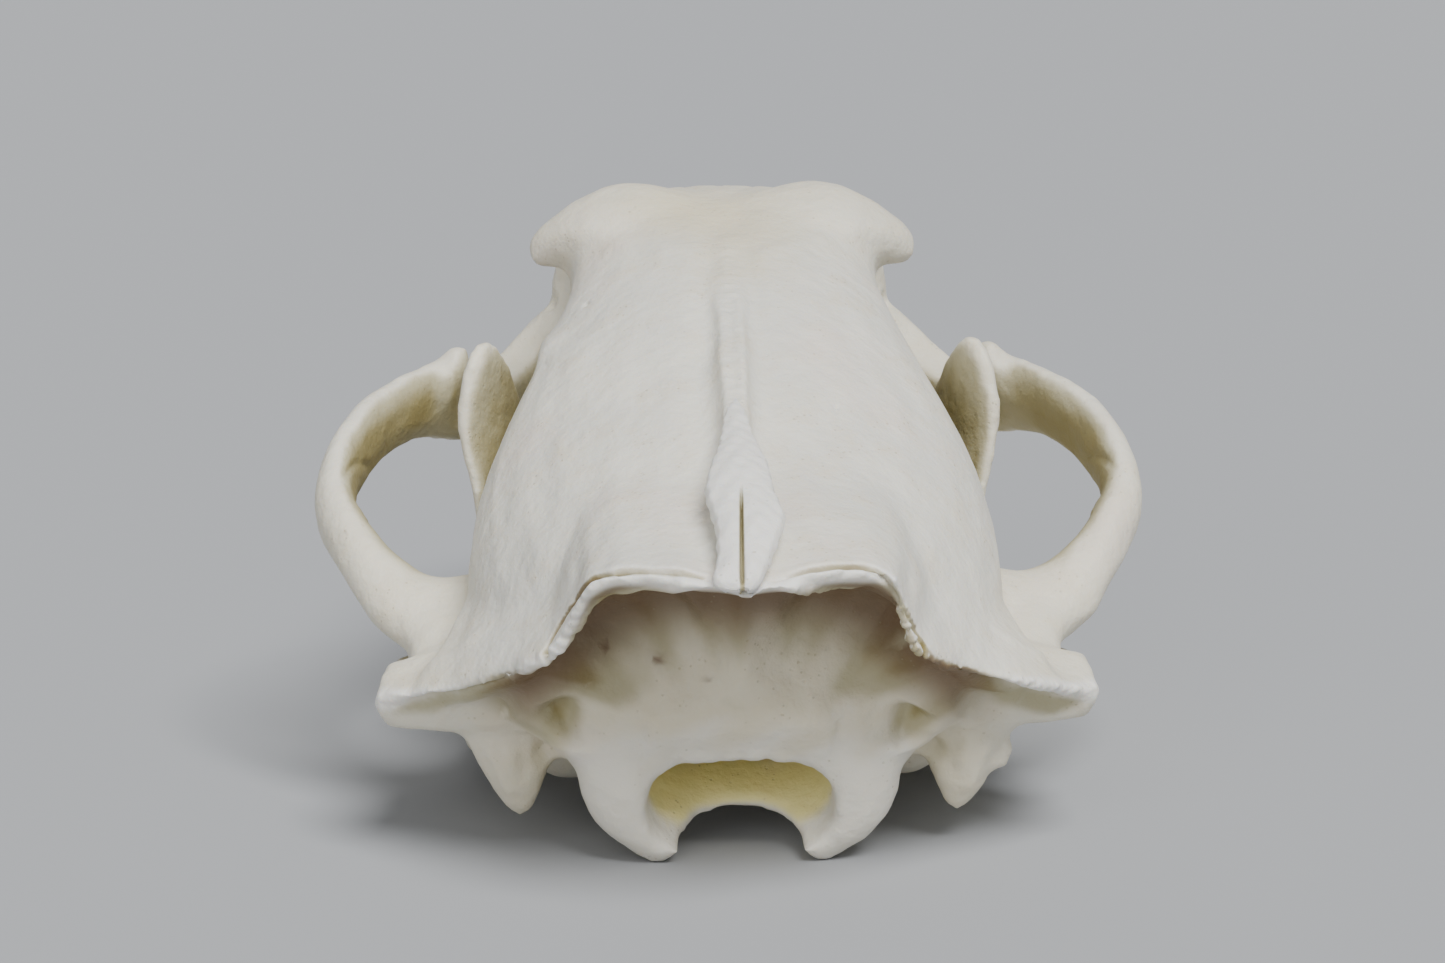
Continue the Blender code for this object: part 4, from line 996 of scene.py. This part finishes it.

# %% [markdown]
# ## Where the bone is sheltered
#
# Cleaning bleaches what it reaches. Hollows that little light reaches keep more fat and stain, and they are
# painted olive and darker: partly that stain, partly painted shade where less light falls. Blender's Ambient
# Occlusion node can find them, but a bake or another renderer may not know it. So a few rays are sent out
# from every point, and the share that soon meets bone again is kept as an attribute.

# %% How sheltered each point lies
SHELTER_REACH = 24 * MM
RAYS = 14


def sheltered(bone, tree):
    """For each point, from 0 in the open to 1 in a deep hollow."""
    points, normals = points_and_normals(bone)
    dice = np.random.default_rng(7)
    found = np.zeros(len(points))
    for _ in range(RAYS):
        ways = normals + dice.normal(size=(len(points), 3)) * 0.55
        ways /= np.linalg.norm(ways, axis=1)[:, None]
        starts = points + normals * 0.25 * MM
        for i, (start, way) in enumerate(zip(starts.tolist(), ways.tolist())):
            distance = tree.ray_cast(start, way, SHELTER_REACH)[3]
            if distance is not None:
                found[i] += 1 - 0.6 * distance / SHELTER_REACH
    value = found[:, None] / RAYS
    for _ in range(5):
        total, count = neighbour_sums(bone, value)
        value = (value + 2 * total / count) / 3
    return value[:, 0]


bones = (cranium, *jaws.values())
whole_vertices, whole_faces = [], []
for bone in bones:
    first = len(whole_vertices)
    whole_vertices += [vert.co.copy() for vert in bone.data.vertices]
    whole_faces += [[first + i for i in polygon.vertices] for polygon in bone.data.polygons]
whole = BVHTree.FromPolygons(whole_vertices, whole_faces)
shelters = {bone.name: sheltered(bone, whole) for bone in bones}
print("mean shelter:", {name: round(float(values.mean()), 3) for name, values in shelters.items()})

# %% [markdown]
# ## Where the finish changes
#
# Four more attributes tell the material where it changes. Rust marks small iron stains, and painted brown
# shade under the nuchal crest, partly stain. Chalk marks the whitest bone, the crest's crumbly lips and the
# leaf, and lays a painted highlight on the condyles and the foramen's rim. Wax marks warmer bone away from
# the
# open roof: the roof, which faces up, is painted whiter and the back warmer, as painted light and shade. Fat
# marks the yellow inside of the foramen, painted bright as painted light. Each is worked out from where a
# point lies on the skull and which way it faces.

# %% Helpers, and the places of small stains
RUST_SPOTS = (  # small iron stains on the back of the skull, with the radius of each
    ((10.5, -3, 33), 0.6), ((4.0, -2, 30), 0.45), ((9.4, 3, 25), 0.7), ((-0.6, -1, 33), 0.45),
    ((-5.0, -2, 35), 0.4), ((14, 2, 27), 0.4), ((-9, 3, 26), 0.35), ((-13, 0, 31), 0.45), ((2.5, 4, 22), 0.4),
    ((0.5, -12.5, 42.5), 2.2),
)
FORAMEN_HALF_WIDTH, FORAMEN_HALF_HEIGHT, FORAMEN_MIDDLE = 10.8, 5.9, 6.2
STREAKS_START = 6  # the height in the foramen from which the streaks fan out
JAW_WARMTH = 0.45
KEPT = ("painted_shade_and_stain", "rust_and_painted_shade", "chalk_and_painted_highlight", "wax_and_painted_light", "fat_and_painted_light")


def clipped(values):
    return np.clip(values, 0, 1)


def around(curve, spots, radius):
    """From 1 on a curve to 0 away from it."""
    return np.exp(-(near_curve(curve, spots)[0] / radius) ** 2)


def keep_values(obj, *rows):
    """Stores one number a point in each of the kept attributes, for the material to read."""
    for name, values in zip(KEPT, rows):
        attribute = obj.data.attributes.new(name, "FLOAT", "POINT")
        attribute.data.foreach_set("value", np.asarray(values, np.float32))


# %% [markdown]
# The occiput has fine streaks that fan out from the foramen, as a muscle's fibres did. They are a sum of
# waves over the angle round it, and they vary the painted shade under the nuchal crest. The roof faces up and
# is painted whiter, and the back warmer and darker: painted light and shade. Each mask below is 1 on its part
# of the skull and fades to 0 beyond it.

# %% Finish of the cranium, point by point
def cranium_finish(spots, normals, painted_shade_and_stain):
    side, forward, up = np.abs(spots[:, 0]), spots[:, 1], spots[:, 2]
    cleft, lip = in_cleft(spots), on_lip(spots)
    chalk_and_painted_highlight = around(nuchal_line + (0, 0.2, -0.9), spots, 1.7)
    # a painted highlight makes the condyles and the foramen's rim whiter and creamier
    painted_highlight_on_condyles = clipped((20.5 - up + 2.2 * uneven(spots, (5, 7, 9, 12), 9)) / 8)  # condyles and foramen rim
    painted_highlight_on_condyles = painted_highlight_on_condyles * clipped((12 - forward) / 3) * clipped((22 - side) / 3)
    chalk_and_painted_highlight = np.maximum(chalk_and_painted_highlight, 0.62 * painted_highlight_on_condyles)

    # by which way the bone faces: the roof, facing up, gets painted light, and the back painted shade
    open_up = clipped((normals[:, 2] + 0.02) / 0.25)
    open_up = open_up * clipped((normals[:, 1] + 0.8) / 0.3 + 4 * (forward > 14))
    roof = open_up * clipped((up - 20) / 8) * clipped((84 - forward) / 20)
    back = clipped((12 - forward) / 3) * clipped((32 - side) / 8) * (1 - open_up)
    ray = np.arctan2(spots[:, 0], up - STREAKS_START)
    streaks = np.sin(ray * 17 + 0.6) * 0.5 + np.sin(ray * 31 + 2) * 0.3 + np.sin(ray * 47 + 1) * 0.2
    # painted shade under the nuchal crest, partly stain: darker towards the crest, streaked, lighter lower
    # down
    under_crest = clipped((up - 22 + 0.02 * side ** 2) / 14)
    shaded = 0.62 * under_crest + 0.24 * streaks * clipped(under_crest + 0.3)
    painted_shade_and_stain = painted_shade_and_stain * (1 - 0.8 * chalk_and_painted_highlight) + back * (1 - chalk_and_painted_highlight) * shaded
    # olive painted shade in the hollows, partly stain
    for places, radius, strength in STAINS_AND_PAINTED_SHADE:
        painted_shade_and_stain = painted_shade_and_stain + strength * around(seen(whole, places), spots, radius) * (1 - chalk_and_painted_highlight)
    # painted shade in the crest's cleft
    painted_shade_and_stain = clipped(np.maximum(painted_shade_and_stain, 0.8 * cleft ** 0.6))

    rust_and_painted_shade = np.zeros(len(spots))
    for place, radius in RUST_SPOTS:
        spot = laid_on(whole, np.array([place], float))[0]
        rust_and_painted_shade = np.maximum(rust_and_painted_shade, np.exp(-(np.linalg.norm(spots - spot, axis=1) / radius) ** 2))
    # painted brown shade under the nuchal crest, partly brown stain
    brown_stain_and_painted_shade = back * (1 - chalk_and_painted_highlight) * clipped((up - 25 + 0.02 * side ** 2) / 10)
    rust_and_painted_shade = np.maximum(rust_and_painted_shade, brown_stain_and_painted_shade * (1 - cleft) ** 2 * (1 - lip))

    frontal = around(seen(whole, FOREHEAD_BLUSH), spots, 9)
    # warmer tone with painted light and shade: whiter on the roof, warmer on the back and the condyles'
    # highlight
    wax_and_painted_light = clipped(0.45 - 0.45 * roof + 0.25 * back + 0.5 * frontal + 0.25 * painted_highlight_on_condyles)
    arch = clipped((side - 33) / 2) * clipped((forward - 30) / 6) * clipped((88 - forward) / 4)
    inwards = -np.sign(spots[:, 0]) * normals[:, 0]
    # painted shade on the arches' inner faces, partly olive stain
    painted_shade_and_stain = painted_shade_and_stain + 0.5 * arch * clipped(inwards + 0.1)  # the arches' inner faces are olive
    # painted light: the inside of the foramen is painted bright yellow and cleared of painted shade
    middle = FORAMEN_MIDDLE + 0.3 * (forward - 1)  # the passage from the foramen to the brain cavity climbs
    inside = clipped((1.25 - np.hypot(side / FORAMEN_HALF_WIDTH, (up - middle) / FORAMEN_HALF_HEIGHT)) / 0.15)
    fat_and_painted_light = inside * clipped((forward - 2.6) / 2.5) * clipped((40 - forward) / 10)
    return painted_shade_and_stain * (1 - 0.9 * fat_and_painted_light), rust_and_painted_shade, chalk_and_painted_highlight, wax_and_painted_light, fat_and_painted_light


# %% [markdown]
# The jaws get one even warmth and only their own painted shade in hollows, partly stain. The leaf is chalky
# all over, with painted olive shade in its cleft.

# %% Store the finish of every bone and of the leaf
for bone in bones:
    spots, normals = surface(bone)
    if bone is cranium:
        keep_values(bone, *cranium_finish(spots, normals, shelters[bone.name]))
    else:
        none = np.zeros(len(spots))
        keep_values(bone, shelters[bone.name], none, none, none + JAW_WARMTH, none)
spots, _ = surface(leaf)
off = np.abs(spots[:, 0] - bend_of_cleft(spots[:, 1]))
none = np.zeros(len(spots))
# painted shade in the leaf's cleft
painted_shade_in_leaf_cleft = 0.8 * np.exp(-(off / 0.32) ** 4) * clipped((2.5 - spots[:, 1]) / 6)
keep_values(leaf, painted_shade_in_leaf_cleft, none, none + 1, none, none)
print("attributes of the cranium:", [name for name in KEPT if name in cranium.data.attributes])

# %% [markdown]
# ## Dry, cleaned bone
#
# Compact bone that has been macerated and bleached is off-white and matt, with a faint waxy glow from light
# that enters its surface. Its tint wanders between warm and grey over centimetres, and fine pores speckle it.
# What is sheltered is painted olive, partly stain and partly painted shade, and the attributes add painted
# light and highlights. Noise textures on Object coordinates give the wandering, layers of tint over it read
# the attributes, and bumps of falling size give the relief that is too fine for the mesh.

# %% Layers of tint, and sizes of patterns
def per_metre(size):
    """The scale of a pattern whose features are some millimetres across."""
    return 1 / (size * MM)


def tinted(tree, colour, layers):
    """A colour under layers of tint. Each grows as its value runs from low to high, up to its strength."""
    for value, low, high, strength, tint in layers:
        laid = add_node(tree, "ShaderNodeMapRange", {"interpolation_type": "SMOOTHSTEP"},
                        _0=value, _1=low, _2=high, _4=strength).outputs[0]
        colour = add_node(tree, "ShaderNodeMix", {"data_type": "RGBA"},
                          _0=laid, _6=colour, _7=linear(tint)).outputs[2]
    return colour


# %% [markdown]
# Bone mineral and gristle together have an IOR of about 1.5. Cleaned bone scatters light a millimetre or
# two below its surface, red the farthest, so thin edges and crests look soft. Pores are a tenth of a
# millimetre wide in life. They are drawn about a third of a millimetre wide, or the render wouldn't show
# them. The grain is as fine as the render can show.

# %% Bleached bone: its colour
# All sizes are in millimetres. The tint wanders over clouds and, faintly pink, over wider blushes.
CLOUD_SIZE, BLUSH_SIZE, PATCH_SIZE, DIMPLE_SIZE = 18.18, 26.32, 4.762, 1.5625
GRAIN_SIZE, PORE_SPACING = 0.4545, 0.9091

bleached_bone, tree, shader = new_material("bleached_bone")
place = add_node(tree, "ShaderNodeTexCoord").outputs["Object"]
painted_shade_and_stain, rust_and_painted_shade, chalk_and_painted_highlight, wax_and_painted_light, fat_and_painted_light = (
    add_node(tree, "ShaderNodeAttribute", {"attribute_name": name}).outputs["Fac"] for name in KEPT
)
clouds, patches, grain, blush, dimples = (
    add_node(tree, "ShaderNodeTexNoise", Vector=place, Scale=per_metre(size), Detail=detail,
             Roughness=roughness).outputs["Fac"]
    for size, detail, roughness in (
        (CLOUD_SIZE, 4.0, 0.55), (PATCH_SIZE, 5.0, 0.6), (GRAIN_SIZE, 3.0, 0.6), (BLUSH_SIZE, 2.0, 0.5),
        (DIMPLE_SIZE, 2.0, 0.5),
    )
)
colour = tinted(tree, linear("#e9e6d9"), (
    (clouds, 0.35, 0.65, 1.0, "#e0ded3"),
    (patches, 0.45, 0.75, 0.55, "#ddd2bb"),
    # a warmer tone, with painted light: whiter on the roof, warmer on the back
    (wax_and_painted_light, 0.0, 1.0, 1.0, "#ddd3b6"),
    (blush, 0.52, 0.75, 0.35, "#ebdacd"),
    # whiter crest lips and leaf, and a painted highlight on the condyles
    (chalk_and_painted_highlight, 0.1, 0.9, 0.75, "#f0efea"),
    # olive painted shade in the hollows, partly stain
    (painted_shade_and_stain, 0.22, 0.62, 0.8, "#aaa27c"),
    (painted_shade_and_stain, 0.62, 0.92, 0.85, "#8b7c42"),
    # yellow inside the foramen, painted bright as painted light
    (fat_and_painted_light, 0.0, 1.0, 0.9, "#fbeea2"),
    # small iron stains, and painted brown shade under the nuchal crest
    (rust_and_painted_shade, 0.0, 1.0, 0.88, "#70573f"),
))
pores = add_node(tree, "ShaderNodeTexVoronoi", Vector=place, Scale=per_metre(PORE_SPACING), Randomness=1.0)
specks = add_node(tree, "ShaderNodeMapRange", {"interpolation_type": "SMOOTHSTEP"},
                  _0=pores.outputs["Distance"], _1=0.10, _2=0.22, _3=1.0, _4=0.0).outputs[0]
where = add_node(tree, "ShaderNodeMapRange", {"interpolation_type": "SMOOTHSTEP"},
                 _0=patches, _1=0.5, _2=0.62).outputs[0]
sparse = add_node(tree, "ShaderNodeMath", {"operation": "MULTIPLY"}, _0=specks, _1=where).outputs[0]
faint = add_node(tree, "ShaderNodeMath", {"operation": "MULTIPLY"}, _0=sparse, _1=0.35).outputs[0]
colour = add_node(tree, "ShaderNodeMix", {"data_type": "RGBA"},
                  _0=faint, _6=colour, _7=linear("#9a8f6f")).outputs[2]
tree.links.new(colour, shader.inputs["Base Color"])
print("nodes for the bone's colour:", len(tree.nodes))

# %% [markdown]
# The relief goes from patches over dimples to the grain, and each bump takes the last one's normal. The
# pores are pressed in last. They lie in the warmer patches, where the bone is a little rougher too.

# %% Bleached bone: its relief and gloss
normal = None
for height, strength, depth, pressed_in in (  # the depth is in millimetres
    (patches, 0.75, 0.60, False), (dimples, 0.55, 0.30, False), (grain, 0.35, 0.08, False),
    (sparse, 0.5, 0.12, True),
):
    bump = add_node(tree, "ShaderNodeBump", {"invert": pressed_in}, Strength=strength, Distance=depth * MM,
                    Height=height)
    if normal is not None:
        tree.links.new(normal, bump.inputs["Normal"])
    normal = bump.outputs["Normal"]
tree.links.new(normal, shader.inputs["Normal"])
gloss = add_node(tree, "ShaderNodeMapRange", {"interpolation_type": "SMOOTHSTEP"},
                 _0=patches, _1=0.3, _2=0.7, _3=0.5, _4=0.64).outputs[0]
tree.links.new(gloss, shader.inputs["Roughness"])
shader.inputs["Subsurface Weight"].default_value = 0.22
shader.inputs["Subsurface Radius"].default_value = (1.0, 0.75, 0.45)
shader.inputs["Subsurface Scale"].default_value = 1.6 * MM
shader.inputs["IOR"].default_value = 1.5
print("nodes for bleached bone:", len(tree.nodes))

# %% [markdown]
# ## Enamel
#
# Enamel is the hardest and glossiest thing on a skull, almost pure mineral, with an IOR of 1.62. It is
# ivory white over yellower dentine, so a crown is a little darker towards the gum. An attribute that runs
# from the gum to the tip of each tooth carries that, and soft mottling keeps it from looking like china.

# %% Tooth enamel
MOTTLING_SIZE = 3.333  # millimetres

for one in teeth:
    spots, _ = surface(one)
    upper = one.name.startswith("upper")
    rise = (UPPER_GUM - spots[:, 2]) if upper else (spots[:, 2] - LOWER_GUM)
    attribute = one.data.attributes.new("crown", "FLOAT", "POINT")
    attribute.data.foreach_set("value", clipped(rise / max(float(rise.max()), 1.0)).astype(np.float32))

tooth_enamel, tree, shader = new_material("tooth_enamel")
place = add_node(tree, "ShaderNodeTexCoord").outputs["Object"]
crown = add_node(tree, "ShaderNodeAttribute", {"attribute_name": "crown"}).outputs["Fac"]
mottling = add_node(tree, "ShaderNodeTexNoise", Vector=place, Scale=per_metre(MOTTLING_SIZE), Detail=4.0,
                    Roughness=0.6).outputs["Fac"]
colour = tinted(tree, linear("#cdbb90"), (
    (crown, 0.0, 0.45, 1.0, "#e3d9be"),
    (crown, 0.4, 1.0, 1.0, "#ece8dc"),
    (mottling, 0.5, 0.8, 0.35, "#cdb98c"),
))
tree.links.new(colour, shader.inputs["Base Color"])
shader.inputs["Roughness"].default_value = 0.24
shader.inputs["IOR"].default_value = 1.62
shader.inputs["Subsurface Weight"].default_value = 0.15
shader.inputs["Subsurface Radius"].default_value = (1.0, 0.8, 0.55)
shader.inputs["Subsurface Scale"].default_value = 1.0 * MM
bump = add_node(tree, "ShaderNodeBump", Strength=0.15, Distance=0.2 * MM, Height=mottling).outputs["Normal"]
tree.links.new(bump, shader.inputs["Normal"])
print("nodes for tooth enamel:", len(tree.nodes))

# %% [markdown]
# ## The pieces on one body
#
# Nothing moves on this skull, so every piece rides on the one body. Each gets its material, and the solids
# that the bones stand for are hidden.

# %% Finish, ride and replace
pieces = [(bone, bleached_bone, "bone") for bone in (*bones, leaf)]
pieces += [(one, tooth_enamel, "enamel") for one in teeth]
for piece, material, slot in pieces:
    piece.data.materials.clear()
    piece.data.materials.append(material)
    piece.data.shade_smooth()
    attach(piece, "root")
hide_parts(*CRANIUM_NODES)
for word, jaw in jaws.items():
    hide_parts("lower_jaw_with_teeth_" + word)
print("pieces:", len(pieces))
